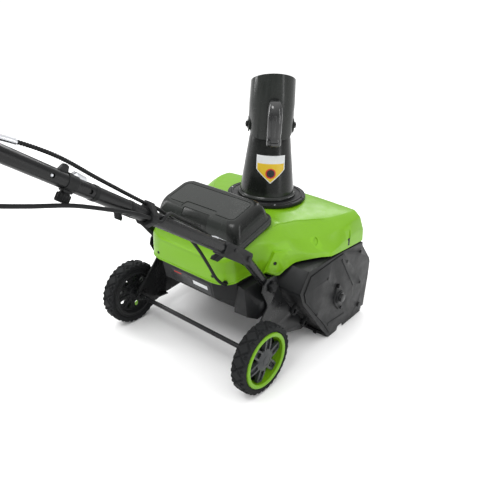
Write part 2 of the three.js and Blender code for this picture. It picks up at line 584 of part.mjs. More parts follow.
// ---------------------------------------------------------------- chute and deflector
// Everything here stands on the collar: z is the distance above the collar's top face along the
// turning axis, and +Y is the way the chute throws.
function collarRing() {
  const { r, t } = COLLAR;
  const ring = latheZ([[NECK_R + 4, -t], [r - 2, -t], [r, -t + 2], [r, 0], [104, 0], [103, 2.5], [99, 2.5],
    [98, 0], [NECK_R + 4, 0], [NECK_R + 4, -t]], 32);
  const screws = [20, 80, 140, 200, 260, 320].map((degrees) => {
    const [x, y] = [108.5 * Math.cos(rad(degrees)), 108.5 * Math.sin(rad(degrees))];
    return bar([x, y, -1], [x, y, 1.6], 3.4, 8);
  });
  return join(ring, ...screws);
}

// The neck leads the snow from the chamber roof up to the collar.
function neck() {
  const tube = latheZ([[NECK_R - 3, -216], [NECK_R, -216], [NECK_R, 0], [NECK_R - 3, 0], [NECK_R - 3, -216]], 32)
    .translate(0, COLLAR.y, COLLAR.z - COLLAR.t - 8);
  const chamber = drumX(SCROLL_R + GAP, -120, 120, AUGER.y, AUGER.z, 36);
  const front = slabX([[320, 100], [320, 216], [333, 219], [341, 219], [460, 251.6], [460, 100]], -120, 120);
  return cut(tube, chamber, front);
}

const CHUTE_PROFILE = [[77.5, 1], [78.5, 12], [58.5, 166], [57, 172], [57, 217.5]];

function chute() {
  const wall = 2.6;
  const inside = CHUTE_PROFILE.map(([radius, z]) => [radius - wall, z]).reverse();
  const tube = latheZ([...CHUTE_PROFILE, ...inside, CHUTE_PROFILE[0]], 28);
  const flange = latheZ([[76, 1], [84, 1], [84, 4], [82.5, 5.5], [76, 5.5], [76, 1]], 28);
  const mouth = hull([
    [-90, 20, 141.5], [90, 20, 141.5], [-90, 120, 111.5], [90, 120, 111.5], [-90, 20, 231.5],
    [90, 20, 231.5], [-90, 120, 231.5], [90, 120, 231.5],
  ]);
  const holes = drumX(4 + GAP, -90, 90, 0, DEFLECTOR_Z, 12);
  return cut(join(tube, flange), mouth, holes);
}

// A half tube, open to the front, whose top is cut on the slant; round pads carry its pivot bolts.
function deflector() {
  const r = DEFLECTOR_R;
  const tube = latheZ([[r - 3, 170], [r, 170], [r, 262], [r - 3.5, 356], [r - 6.5, 356], [r - 3, 262],
    [r - 3, 170]], 28);
  const pads = [r - 2.6, -r - 0.8].map((x) => drumX(22, x, x + 3.4, 0, DEFLECTOR_Z, 16));
  const front = box(-90, 90, 26, 90, 140, 380);
  const slant = hull([
    [-90, -75, 354.5], [90, -75, 354.5], [-90, 90, 278.5], [90, 90, 278.5], [-90, -75, 420], [90, -75, 420],
    [-90, 90, 420], [90, 90, 420],
  ]);
  const skirt = hull([-90, 90].flatMap((x) =>
    [[x, -4, 140], [x, -4, 178.5], [x, 14, 203.5], [x, 90, 203.5], [x, 90, 140]]));
  const holes = drumX(4 + GAP, -90, 90, 0, DEFLECTOR_Z, 12);
  return cut(join(cut(tube, front, slant, skirt), ...pads), holes);
}

// The grip stands off the back of the deflector and joins it at the top and just above its edge.
function deflectorGrip() {
  const back = -DEFLECTOR_R - 0.8;
  const side = [[back - 2, 283], [back - 20, 281], [back - 34, 271], [back - 40, 253], [back - 40, 163.5],
    [back - 14, 163.5], [back - 14, 178], [back, 181], [back, 194], [back - 14, 198], [back - 14, 246],
    [back, 252]];
  const body = slabX(side, -17, 17);
  const nose = hull([-1, 1].flatMap((edge) => [
    [edge * 20, back - 18, 273], [edge * 20, back - 33, 253], [edge * 20, back - 33, 163.5],
    [edge * 20, back - 18, 163.5], [edge * 12, back - 18, 280], [edge * 12, back - 40, 253],
    [edge * 12, back - 40, 163.5],
  ]));
  const shell = latheZ([[0, 140], [DEFLECTOR_R + 0.4, 140], [DEFLECTOR_R + 0.4, 320], [0, 320]], 28);
  const triggerRoom = box(-9, 9, back - 36, back - 8, 155, 206);
  return cut(join(body, nose), shell, triggerRoom);
}

function gripTrigger() {
  const back = -DEFLECTOR_R - 0.8;
  return hull([-1, 1].flatMap((edge) => [
    [edge * 8, back - 32, 156], [edge * 8, back - 32, 200], [edge * 8, back - 18, 200],
    [edge * 8, back - 12, 164], [edge * 8, back - 14, 156],
  ]));
}

function deflectorKnob(side) {
  const start = 57 - 5;
  const shank = drumX(4, start, 68.5, 0, DEFLECTOR_Z, 12);
  const head = drumX(9.5, DEFLECTOR_R + 1.2, DEFLECTOR_R + 8, 0, DEFLECTOR_Z, 8);
  const washer = drumX(13, DEFLECTOR_R + 1.2, DEFLECTOR_R + 3, 0, DEFLECTOR_Z, 20);
  const solid = join(shank, head, washer);
  return side > 0 ? solid : mirrorX(solid);
}

function dischargeAssembly() {
  const tilted = new THREE.Group();
  tilted.position.set(0, COLLAR.y, COLLAR.z);
  tilted.rotation.x = rad(-COLLAR.tilt);
  place(tilted, "chute_collar", collarRing(), "black");
  const turning = new THREE.Group();
  turning.rotation.z = rad(CHUTE_TURN);
  tilted.add(turning);
  place(turning, "chute", chute(), "satin");
  place(turning, "deflector", deflector(), "satin");
  place(turning, "deflector_grip", deflectorGrip(), "satin");
  place(turning, "grip_trigger", gripTrigger(), "rubber");
  place(turning, "deflector_bolt_right", deflectorKnob(1), "rubber");
  place(turning, "deflector_bolt_left", deflectorKnob(-1), "rubber");
  return tilted;
}

// ---------------------------------------------------------------- battery cover
// The cover's own frame lies on the sloping deck: y runs up the slope from the rear edge and z is
// square to it.

function roundedRect(halfWidth, y0, y1, radius) {
  const shape = new THREE.Shape();
  shape.moveTo(-halfWidth + radius, y0);
  shape.lineTo(halfWidth - radius, y0);
  shape.absarc(halfWidth - radius, y0 + radius, radius, -Math.PI / 2, 0, false);
  shape.absarc(halfWidth - radius, y1 - radius, radius, 0, Math.PI / 2, false);
  shape.absarc(-halfWidth + radius, y1 - radius, radius, Math.PI / 2, Math.PI, false);
  shape.absarc(-halfWidth + radius, y0 + radius, radius, Math.PI, 1.5 * Math.PI, false);
  return shape;
}

const roundRing = (half, y0, y1, radius, z) =>
  roundedRect(half, y0, y1, radius).getPoints(3).map((point) => [point.x, point.y, z]);

const LATCH_HALF = 45;

function batteryCover() {
  const rim = hull([...roundRing(151, -6, 156, 30, 0), ...roundRing(153, -8, 158, 32, 6),
    ...roundRing(153, -8, 158, 32, 13), ...roundRing(149, -4, 154, 30, 17)]);
  const dome = hull([...roundRing(146, 0, 150, 28, 15), ...roundRing(141, 8, 148, 28, 44),
    ...roundRing(131, 24, 138, 26, 62), ...roundRing(127, 29, 126, 24, 66)]);
  const hollow = hull([...roundRing(146, 0, 150, 28, -5), ...roundRing(142, 3, 147, 26, 15),
    ...roundRing(138, 11, 145, 26, 42), ...roundRing(126, 29, 132, 22, 62)]);
  const recess = hull([...roundRing(118, 37, 118, 14, 64.6), ...roundRing(118, 37, 118, 14, 70)]);
  const notch = box(-LATCH_HALF - 0.5, LATCH_HALF + 0.5, -20, 32, 18.5, 80);
  const knuckles = [-70, 70].flatMap((x) => [
    drumX(5, x - 18, x + 18, HINGE.y, HINGE.z, 12), box(x - 18, x + 18, 150, HINGE.y, 4, 13.5)]);
  const pinHole = drumX(HINGE.pin + GAP, -120, 120, HINGE.y, HINGE.z, 12);
  return cut(join(cut(join(rim, dome), hollow, recess, notch), ...knuckles), pinHole);
}

// The latch closes the notch in the middle of the cover's rear edge.
const coverLatch = () =>
  slabX([[1, 20], [9, 45], [24, 61], [31.2, 64.4], [31.2, 60], [26, 57], [12, 42], [6, 20]],
    -LATCH_HALF, LATCH_HALF);

function coverAssembly() {
  const deck = new THREE.Group();
  deck.position.set(0, DECK.y, DECK.z);
  deck.rotation.x = rad(DECK.slope);
  place(deck, "battery_cover", batteryCover(), "satin");
  place(deck, "cover_latch", coverLatch(), "satin");
  return deck;
}

// ---------------------------------------------------------------- handle
function lowerTube(side) {
  const from = [side * TUBE_X, PIVOT.y, PIVOT.z];
  const to = [side * TUBE_X, FOLD.y, FOLD.z];
  const along = new THREE.Vector3(0, FOLD.y - PIVOT.y, FOLD.z - PIVOT.z).normalize();
  const extend = (point, amount) => [point[0], point[1] + along.y * amount, point[2] + along.z * amount];
  const tube = bar(extend(from, -16), extend(to, 13), LOWER_R, 16);
  const bore = bar(extend(from, -30), extend(to, 30), LOWER_R - 1.5, 12);
  const bolts = drumX(4 + GAP, side * TUBE_X - 20, side * TUBE_X + 20, PIVOT.y, PIVOT.z, 12);
  const foldHole = drumX(4 + GAP, side * TUBE_X - 20, side * TUBE_X + 20, FOLD.y, FOLD.z, 12);
  return cut(tube, bore, bolts, foldHole);
}

// A bolt through the tube and the bracket, with a lobed hand knob outside.
function pivotKnob(side) {
  const inner = TUBE_X - LOWER_R - 1;
  const outer = BRACKET_X + BRACKET_T + 0.6;
  const shank = drumX(4, inner - 3, outer + 6, PIVOT.y, PIVOT.z, 12);
  const head = drumX(7, inner - 5, inner, PIVOT.y, PIVOT.z, 6);
  const lobes = Array.from({ length: 5 }, (_, step) => {
    const angle = (step / 5) * 2 * Math.PI;
    return drumX(6, outer, outer + 11, PIVOT.y + 10 * Math.cos(angle), PIVOT.z + 10 * Math.sin(angle), 8);
  });
  const solid = join(shank, head, drumX(11, outer, outer + 13, PIVOT.y, PIVOT.z, 16), ...lobes);
  return side > 0 ? solid : mirrorX(solid);
}

// The upper handle's own frame: its origin is on the fold axis, y runs up the tube and z points out
// of the underside.
function handleGroup() {
  const group = new THREE.Group();
  group.position.set(0, FOLD.y, FOLD.z);
  group.rotation.x = rad(180 - HANDLE_RISE);
  return group;
}

const GRIP_BEND = 780; // where the handle starts to curve down towards the hand grip
const bendBack = (y) => (y > GRIP_BEND ? 13 * ((y - GRIP_BEND) / 100) ** 1.5 : 0);
const GRIP_DROP = bendBack(HANDLE_RUN); // how far the grip bar lies off the line of the tubes
const BAIL = { x: 171, y: 862, z: -4, r: 4 };

function upperHandle() {
  const corner = 70;
  const turn = Array.from({ length: 6 }, (_, step) => {
    const angle = rad(step * 18);
    return [TUBE_X - corner + corner * Math.cos(angle), HANDLE_RUN - corner + corner * Math.sin(angle)];
  });
  const half = [[TUBE_X, 34], [TUBE_X, GRIP_BEND], [TUBE_X, GRIP_BEND + 50], [TUBE_X, GRIP_BEND + 95], ...turn];
  const whole = [...half, ...half.map(([x, y]) => [-x, y]).reverse()].map(([x, y]) => [x, y, bendBack(y)]);
  const bore = bentBar([[TUBE_X, 20, 0], ...whole.slice(1, -1), [-TUBE_X, 20, 0]], UPPER_R - 1.5, 8);
  return cut(join(bentBar(whole, UPPER_R, 12), bailMount(), mirrorX(bailMount())), bore);
}

// A collar on the tube with the pin that one end of the bail turns on.
function bailMount() {
  const along = (reach) => [TUBE_X, BAIL.y + reach, bendBack(BAIL.y) + 0.18 * reach];
  const pin = drumX(3, BAIL.x - 7, TUBE_X - 8, BAIL.y, BAIL.z, 12);
  const boss = drumX(7, BAIL.x + 5.2, TUBE_X - 8, BAIL.y, BAIL.z, 14);
  return join(bar(along(-9), along(9), UPPER_R + 3.4, 16), boss, pin);
}

// The fold block: two cheeks that carry the fold bolt, a sleeve that grips the end of the upper tube,
// and a clamp foot under its inner side.
function foldBlock(side) {
  const inner = TUBE_X - UPPER_R - 4.5;
  const outer = TUBE_X + UPPER_R + 2.5;
  const shape = [[-13, -8], [-8, -15], [30, -17], [92, -17], [98, -10], [98, 12], [92, 18], [30, 18], [-6, 15],
    [-13, 8]];
  const block = slabX(shape, inner, outer);
  const slot = box(TUBE_X - LOWER_R - 1, TUBE_X + LOWER_R + 1, -30, 30, -30, 30);
  const sleeve = bar([TUBE_X, 20, 0], [TUBE_X, 120, 0], UPPER_R + 0.4, 20);
  const foot = hull([[178, 62, 16], [190, 62, 16], [178, 82, 16], [190, 82, 16], [166, 64, 26],
    [166, 80, 26], [166, 64, 34], [178, 64, 34], [166, 80, 34], [178, 80, 34]]);
  const bolt = drumX(4, inner - 8, outer + 1, 0, 0, 12);
  const head = drumX(7.5, outer - 1, outer + 4.5, 0, 0, 6);
  const screw = drumX(5, outer - 1, outer + 2.5, 62, -6, 6);
  const solid = join(cut(block, slot, sleeve), cut(foot, sleeve), bolt, head, screw);
  return side > 0 ? solid : mirrorX(solid);
}

// The cam lever lies along the inner face of the fold block; it swings on a pin square to the bolt.
const CAM = { x: 171.5 };

function camLever(side) {
  const x = CAM.x;
  const arm = hull([[x - 4, 4, -3], [x + 3, 4, -3], [x - 4, 4, -17], [x + 3, 4, -17], [x - 6, 96, -7],
    [x - 1, 96, -7], [x - 6, 96, -19], [x - 1, 96, -19], [x - 5, 108, -9], [x - 2, 108, -9], [x - 5, 108, -16],
    [x - 2, 108, -16]]);
  const bore = drumX(4 + GAP, x - 10, x + 10, 0, 0, 12);
  const solid = cut(join(arm, drumX(9, x - 6, x + 4, 0, 0, 16)), bore);
  return side > 0 ? solid : mirrorX(solid);
}

const SADDLE_Y = 542;

// A ribbed clamp knob under the tube.
function saddleKnob(side) {
  const profile = [[0, 14.5], [5, 14.5], [8.5, 17], [12.5, 20], [12.5, 33], [10.5, 35], [0, 35]];
  const solid = latheZ(profile, 14).translate(TUBE_X, SADDLE_Y, 0);
  return side > 0 ? solid : mirrorX(solid);
}

// ---------------------------------------------------------------- hand grip, switch box and bail
const BOX = { half: 52, y0: 950, y1: 1017, z0: 10, z1: 72 };

function gripSleeve(side) {
  const start = BOX.half + 4;
  const solid = pipeX(UPPER_R + 0.4, UPPER_R + 3.6, start, start + 66, HANDLE_RUN, GRIP_DROP, 20);
  return side > 0 ? solid : mirrorX(solid);
}

function switchBox() {
  const { half, y0, y1, z0, z1 } = BOX;
  const shell = hull([-1, 1].flatMap((side) => [
    [side * half, y0 + 8, z0 + 8], [side * half, y1 - 8, z0 + 8], [side * half, y0 + 8, z1 - 8],
    [side * half, y1 - 8, z1 - 8], [side * (half - 10), y0, z0 + 6], [side * (half - 10), y1, z0 + 6],
    [side * (half - 10), y0, z1 - 6], [side * (half - 10), y1, z1 - 6], [side * (half - 10), y0 + 6, z0],
    [side * (half - 10), y1 - 6, z0], [side * (half - 10), y0 + 6, z1], [side * (half - 10), y1 - 6, z1],
  ]));
  const barHole = drumX(UPPER_R + 0.4, -half - 5, half + 5, HANDLE_RUN, GRIP_DROP, 20);
  const buttonWell = latheZ([[0, -5], [11 + GAP, -5], [11 + GAP, 12], [0, 12]], 20).translate(-24, 983, z0);
  return cut(shell, barHole, buttonWell);
}

const startButton = () =>
  latheZ([[0, -5], [10, -5], [11, -4], [11, 5], [0, 5]], 20).translate(-24, 983, BOX.z0 + 2);

function bail() {
  const { x, y, z, r } = BAIL;
  const top = HANDLE_RUN + 4;
  const half = [[x, y, z], [x, y + 60, z - 12], [x - 2, top - 28, -27], [x - 10, top - 10, -30],
    [x - 26, top, -30]];
  const wire = bentBar([...half, ...half.map(([px, py, pz]) => [-px, py, pz]).reverse()], r, 10);
  const eyes = [-1, 1].map((side) => drumX(7, side * x - 4.5, side * x + 4.5, y, z, 14));
  const bore = drumX(3 + GAP, -x - 20, x + 20, y, z, 12);
  return cut(join(wire, ...eyes), bore);
}

// ---------------------------------------------------------------- cables
const CONDUIT_R = 3.8;
const CLIP_Y = 350;
const CONDUIT_ROUTE_A = [
  [188, 358, -20.5], [188, 400, -22], [190, 489, -26], [191, 581, -31], [186, 660, -24], [176, 720, -10],
  [168, 780, 14], [165, 860, 32], [148, 925, 42], [110, 956, 42], [56, 961, 40], [52.6, 961, 40],
];
const CONDUIT_ROUTE_B = [
  [214.4, 358, 2], [215, 400, 5], [215, 448, 14], [212, 530, 32], [208, 605, 58], [203, 660, 76], [195, 730, 94],
  [184, 800, 101], [172, 880, 92], [150, 935, 78], [110, 958, 66], [56, 965, 60], [52.6, 965, 60],
];

function cableClip() {
  const body = hull([[176, CLIP_Y - 7, 14], [176, CLIP_Y + 7, 14], [186, CLIP_Y - 7, 20], [186, CLIP_Y + 7, 20],
    [206, CLIP_Y - 7, 20], [206, CLIP_Y + 7, 20], [221, CLIP_Y - 7, 8], [221, CLIP_Y + 7, 8],
    [221, CLIP_Y - 7, -6], [221, CLIP_Y + 7, -6], [196, CLIP_Y - 7, -27], [196, CLIP_Y + 7, -27],
    [181, CLIP_Y - 7, -27], [181, CLIP_Y + 7, -27], [176, CLIP_Y - 7, -10], [176, CLIP_Y + 7, -10]]);
  return cut(body, bar([TUBE_X, CLIP_Y - 20, 0], [TUBE_X, CLIP_Y + 20, 0], UPPER_R + 0.4, 20));
}

// Grommets: a rubber button on each side of the hood wall, with the cable's hole part way through.
const GLAND = { x: 151.6, y: 74, z: 296, r: 7 };
const alongGrommet = (reach) => [GROMMET.x - 0.7 * reach, GROMMET.y + 0.7 * reach, GROMMET.z];

function rearGrommet() {
  const body = join(bar(alongGrommet(-8.6), alongGrommet(-4.4), GROMMET.r, 16),
    bar(alongGrommet(-5.5), alongGrommet(6), GROMMET.r - 1.6, 16));
  return cut(body, bar(alongGrommet(-12), alongGrommet(-5.6), CONDUIT_R + GAP, 12));
}

function sideGland() {
  const body = join(drumX(GLAND.r, GLAND.x + 0.3, GLAND.x + 3, GLAND.y, GLAND.z, 16),
    drumX(GLAND.r - 1.6, GLAND.x - 8, GLAND.x + 2, GLAND.y, GLAND.z, 16));
  return cut(body, drumX(CONDUIT_R + GAP, GLAND.x + 1.2, GLAND.x + 10, GLAND.y, GLAND.z, 16));
}

// The free lengths run from the clip on the handle down to the hood.
const REAR_CORD_ROUTE = [
  [188, -268, 586.3], [186, -252, 574.8], [180, -222, 548], [168, -182, 508], [160, -150, 470],
  [155, -112, 418], [151, -78, 362], [147, -46, 308], [145.6, -22, 282], [142.6, -10.8, 272.8],
  [139, -7, 272], [135.9, -3.9, 272],
];
const SIDE_CORD_ROUTE = [
  [214.4, -281.5, 568], [214.2, -268, 560], [209, -249, 565], [200, -232, 561], [189, -214, 549],
  [178, -188, 529], [169, -138, 492], [163, -98, 458], [159.5, -63, 424], [159.5, -30, 388], [160, 0, 356],
  [160.5, 26, 330], [163, 48, 311], [165, 61, 302], [165, 69, 298], [163.4, 73, 296.3],
  [160.4, 74, 296], [157, 74, 296], [153.4, 74, 296],
];

// ---------------------------------------------------------------- assembly
for (const side of [1, -1]) {
  const name = side > 0 ? "right" : "left";
  const face = (geometry) => (side > 0 ? geometry : mirrorX(geometry));
  place(machine, `bracket_${name}`, face(bracket()), "paint");
  machine.add(wheel(side));
  place(machine, `lower_tube_${name}`, lowerTube(side), "paint");
  place(machine, `pivot_knob_${name}`, pivotKnob(side), "rubber");
}
place(machine, "auger_housing", augerHousing(), "black");
place(machine, "side_plate_right", sidePlate(), "black");
place(machine, "side_plate_left", beltPlate(), "black");
place(machine, "belt_cover", beltCover(), "black");
place(machine, "bearing_flange", bearingFlange(), "black");
place(machine, "scraper_bar", scraperBar(), "rubber");
place(machine, "hood", hood(), "green");
place(machine, "belly", belly(), "black");
place(machine, "battery_bay", batteryBay(), "black");
place(machine, "battery_pack", batteryPack(), "black");
place(machine, "axle", axle(), "steel");
place(machine, "discharge_neck", neck(), "black");
place(machine, "motor", motorCan(), "steel");
place(machine, "motor_pulley", motorPulley(), "steel");
place(machine, "drive_belt", driveBelt(), "rubber");
place(machine, "auger", augerCore(), "auger");
place(machine, "auger_pulley", augerPulley(), "grey");
place(machine, "rear_grommet", rearGrommet(), "rubber");
place(machine, "side_gland", sideGland(), "rubber");
place(machine, "rear_cord", cordTube(REAR_CORD_ROUTE, CONDUIT_R, 8, 30), "rubber");
place(machine, "side_cord", cordTube(SIDE_CORD_ROUTE, CONDUIT_R, 8, 34), "rubber");
machine.add(dischargeAssembly(), coverAssembly());

const handle = handleGroup();
machine.add(handle);
for (const side of [1, -1]) {
  const name = side > 0 ? "right" : "left";
  place(handle, `fold_block_${name}`, foldBlock(side), "black");
  place(handle, `cam_lever_${name}`, camLever(side), "steel");
  place(handle, `saddle_knob_${name}`, saddleKnob(side), "rubber");
}
place(handle, "upper_handle", upperHandle(), "paint");
place(handle, "grip_right", gripSleeve(1), "rubber");
place(handle, "grip_left", gripSleeve(-1), "rubber");
place(handle, "switch_box", switchBox(), "black");
place(handle, "start_button", startButton(), "green");
place(handle, "bail", bail(), "steel");
place(handle, "cable_clip", cableClip(), "rubber");
place(handle, "conduit_a", cordTube(CONDUIT_ROUTE_A, CONDUIT_R, 8, 36), "rubber");
place(handle, "conduit_b", cordTube(CONDUIT_ROUTE_B, CONDUIT_R, 8, 36), "rubber");

export default object;
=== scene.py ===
# Looks for the walk-behind battery snow thrower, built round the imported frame.
# Shapes are written in millimetres in the frame of the part they belong to, and placed in metres.
import json
import math

import bmesh
import bpy
from mathutils import Matrix, Vector
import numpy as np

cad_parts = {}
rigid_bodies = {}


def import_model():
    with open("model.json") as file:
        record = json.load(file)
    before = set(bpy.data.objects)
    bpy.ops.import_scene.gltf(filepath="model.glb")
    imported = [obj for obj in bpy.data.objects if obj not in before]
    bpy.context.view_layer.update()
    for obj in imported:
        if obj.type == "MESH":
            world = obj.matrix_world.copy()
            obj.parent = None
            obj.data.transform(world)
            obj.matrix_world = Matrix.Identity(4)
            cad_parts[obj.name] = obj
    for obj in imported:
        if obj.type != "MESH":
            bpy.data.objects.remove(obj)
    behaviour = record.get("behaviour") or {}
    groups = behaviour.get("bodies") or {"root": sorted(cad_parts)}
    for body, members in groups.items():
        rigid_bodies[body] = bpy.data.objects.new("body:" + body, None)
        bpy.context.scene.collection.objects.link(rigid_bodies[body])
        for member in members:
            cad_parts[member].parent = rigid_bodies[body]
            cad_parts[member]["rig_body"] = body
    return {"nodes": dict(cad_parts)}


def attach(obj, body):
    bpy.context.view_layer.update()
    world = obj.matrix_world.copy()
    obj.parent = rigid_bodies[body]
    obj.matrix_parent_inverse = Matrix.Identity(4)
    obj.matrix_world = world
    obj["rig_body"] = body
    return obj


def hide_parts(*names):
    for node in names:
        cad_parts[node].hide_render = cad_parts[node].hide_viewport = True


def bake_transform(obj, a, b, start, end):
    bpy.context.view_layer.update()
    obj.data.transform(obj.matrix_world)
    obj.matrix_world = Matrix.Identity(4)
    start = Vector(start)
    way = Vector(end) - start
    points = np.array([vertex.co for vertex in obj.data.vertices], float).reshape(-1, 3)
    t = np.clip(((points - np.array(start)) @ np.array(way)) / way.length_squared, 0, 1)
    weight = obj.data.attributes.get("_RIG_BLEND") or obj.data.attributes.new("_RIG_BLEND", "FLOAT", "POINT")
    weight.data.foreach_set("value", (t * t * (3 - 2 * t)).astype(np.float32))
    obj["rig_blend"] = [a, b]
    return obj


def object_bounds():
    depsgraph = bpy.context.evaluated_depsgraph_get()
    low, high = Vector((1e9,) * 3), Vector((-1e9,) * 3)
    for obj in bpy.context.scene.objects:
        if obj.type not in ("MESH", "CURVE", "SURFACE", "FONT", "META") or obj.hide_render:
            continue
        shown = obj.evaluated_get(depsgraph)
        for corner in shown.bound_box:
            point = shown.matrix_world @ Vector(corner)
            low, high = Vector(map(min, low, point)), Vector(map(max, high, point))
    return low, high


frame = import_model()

CAD_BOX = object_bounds()
NODES = frame["nodes"]

# ---------------------------------------------------------------- frames, millimetres to metres
MACHINE = Matrix.Translation((0, -0.315, 0)) @ Matrix.Scale(0.001, 4)


def placed(parent, shift, axis="X", degrees=0.0):
    return parent @ Matrix.Translation(shift) @ Matrix.Rotation(math.radians(degrees), 4, axis)


HANDLE = placed(MACHINE, (0, -3, 369), "X", 180 - 35.9)
COLLAR = placed(MACHINE, (0, 333, 379), "X", -3.7)
CHUTE = placed(COLLAR, (0, 0, 0), "Z", 43.5)
DECK = placed(MACHINE, (0, 28, 346.5), "X", 14.5)
MIRROR = Matrix.Scale(-1, 4, (1, 0, 0))
SIDES = {"right": Matrix.Identity(4), "left": MIRROR}
TUBE_X = 195  # the handle tubes stand this far from the middle
UPPER_R = 14
LOWER_R = 12.5
CABLE_R = 3.8


# ---------------------------------------------------------------- camera
camera_data = bpy.data.cameras.new("camera")
camera_data.lens = 43.26
camera_data.sensor_width = 36
camera_data.shift_x = 0.0053
camera_data.shift_y = -0.0020
camera_data.clip_end = 20
camera = bpy.data.objects.new("camera", camera_data)
camera.location = (0.98853, -1.25810, 1.03484)
camera.rotation_euler = (math.radians(62.81), 0, math.radians(40.29))
bpy.context.scene.collection.objects.link(camera)
bpy.context.scene.camera = camera


# ---------------------------------------------------------------- materials
def shade(color, factor):
    return tuple(min(1.0, c * factor) for c in color) + (1.0,)


def set_range(node, from_min, from_max, to_min, to_max):
    """Sets the four limits of a Map Range node."""
    for socket, number in (("From Min", from_min), ("From Max", from_max), ("To Min", to_min),
                           ("To Max", to_max)):
        node.inputs[socket].default_value = number


def surface(name, color, rough, metallic=0.0, grain=1500.0, bump=0.12, spread=0.08, edge_highlight=0.25,
            coat=0.0, specular=0.5, depth=0.0002, streak=1.0, rough_spread=0.06):
    """A material whose colour, roughness and fine relief all vary over the surface."""
    made = bpy.data.materials.new(name)
    made.use_nodes = True
    nodes, links = made.node_tree.nodes, made.node_tree.links
    shader = nodes["Principled BSDF"]
    shader.inputs["Metallic"].default_value = metallic
    shader.inputs["Coat Weight"].default_value = coat
    shader.inputs["Coat Roughness"].default_value = 0.12
    shader.inputs["Specular IOR Level"].default_value = specular
    place = nodes.new("ShaderNodeTexCoord")
    stretch = nodes.new("ShaderNodeMapping")
    stretch.inputs["Scale"].default_value = (1, streak, 1)
    links.new(place.outputs["Object"], stretch.inputs["Vector"])

    def noise(scale, detail):
        node = nodes.new("ShaderNodeTexNoise")
        node.inputs["Scale"].default_value = scale
        node.inputs["Detail"].default_value = detail
        links.new(stretch.outputs["Vector"], node.inputs["Vector"])
        return node.outputs["Fac"]

    def spanned(value, low, high, start=0.35, stop=0.65):
        node = nodes.new("ShaderNodeMapRange")
        set_range(node, start, stop, low, high)
        links.new(value, node.inputs["Value"])
        return node.outputs["Result"]

    def mixed(factor, first, second):
        node = nodes.new("ShaderNodeMix")
        node.data_type = "RGBA"
        for socket, value in ((node.inputs[6], first), (node.inputs[7], second)):
            if isinstance(value, tuple):
                socket.default_value = value
            else:
                links.new(value, socket)
        links.new(factor, node.inputs[0])
        return node.outputs[2]

    tone = mixed(spanned(noise(11, 3), 0, 1), shade(color, 1 - spread), shade(color, 1 + spread))
    speck = mixed(spanned(noise(420, 2), 0, 1), shade(color, 1 - spread / 2),
                  shade(color, 1 + spread / 2))
    both = mixed(spanned(noise(60, 2), 0.25, 0.75), tone, speck)
    # Convex edges, found by pointiness, are mixed toward a lighter copy of the colour: a painted highlight
    # along the edges, its strength set per material.
    geometry = nodes.new("ShaderNodeNewGeometry")
    edge = spanned(geometry.outputs["Pointiness"], 0, edge_highlight, 0.515, 0.60)
    links.new(mixed(edge, both, shade(color, 2.2)), shader.inputs["Base Color"])
    links.new(spanned(noise(35, 4), rough - rough_spread, rough + rough_spread),
              shader.inputs["Roughness"])
    relief = nodes.new("ShaderNodeBump")
    relief.inputs["Strength"].default_value = bump
    relief.inputs["Distance"].default_value = depth
    links.new(noise(grain, 3), relief.inputs["Height"])
    links.new(relief.outputs["Normal"], shader.inputs["Normal"])
    return made


GREEN = surface("green_plastic", (0.140, 0.318, 0.006), 0.36, bump=0.05, spread=0.03, edge_highlight=0.10,
                coat=0.04, specular=0.26, grain=900)
BLACK = surface("black_plastic", (0.0080, 0.0084, 0.0088), 0.44, bump=0.25, grain=1700,
                specular=0.20, edge_highlight=0.5)
SATIN = surface("satin_plastic", (0.0070, 0.0080, 0.0072), 0.24, bump=0.08, grain=2000, edge_highlight=1.0,
                specular=0.26)
GREY = surface("grey_plastic", (0.030, 0.032, 0.034), 0.42, bump=0.3, grain=1600, specular=0.3)
RUBBER = surface("soft_rubber", (0.0055, 0.0058, 0.0062), 0.56, bump=0.35, grain=1100, edge_highlight=0.1,
                 specular=0.2)
TYRE = surface("tyre_rubber", (0.0105, 0.0112, 0.0118), 0.74, bump=0.6, grain=700, spread=0.18,
               specular=0.18)
PAINT = surface("black_paint", (0.0065, 0.0068, 0.0072), 0.30, bump=0.18, grain=2400, coat=0.04,
                specular=0.26, edge_highlight=0.5)
STEEL = surface("bright_steel", (0.52, 0.53, 0.55), 0.30, metallic=1.0, bump=0.15, grain=900,
                spread=0.1, streak=0.2, edge_highlight=0.0, rough_spread=0.1)
WHITE = surface("label_white", (0.58, 0.59, 0.60), 0.42, bump=0.05, edge_highlight=0.0, spread=0.03)
YELLOW = surface("label_yellow", (0.55, 0.37, 0.012), 0.40, bump=0.05, edge_highlight=0.0, spread=0.04)
GLOSS = surface("gloss_black", (0.0105, 0.0110, 0.0112), 0.16, bump=0.05, grain=1800, edge_highlight=1.0,
                specular=0.55, coat=0.2)
RED = surface("label_red", (0.45, 0.020, 0.014), 0.40, bump=0.05, edge_highlight=0.0, spread=0.05)
BRASS = surface("warm_metal", (0.30, 0.20, 0.09), 0.38, metallic=0.7, bump=0.1, edge_highlight=0.0,
                spread=0.1)
DARK_LABEL = surface("label_dark", (0.020, 0.021, 0.022), 0.30, bump=0.05, edge_highlight=0.0, spread=0.1,
                     specular=0.3)


# ---------------------------------------------------------------- shells: (points, faces)
def shell_of(bm):
    """The points and faces of a bmesh, which is freed."""
    bm.verts.index_update()
    points = [tuple(v.co) for v in bm.verts]
    faces = [tuple(v.index for v in f.verts) for f in bm.faces]
    bm.free()
    return points, faces


def tidied(points, faces, distance=1e-3):
    """A shell with doubled points merged and all faces looking out."""
    bm = bmesh.new()
    verts = [bm.verts.new(p) for p in points]
    for face in faces:
        bm.faces.new([verts[i] for i in face])
    bmesh.ops.remove_doubles(bm, verts=bm.verts, dist=distance)
    bmesh.ops.recalc_face_normals(bm, faces=bm.faces)
    return shell_of(bm)


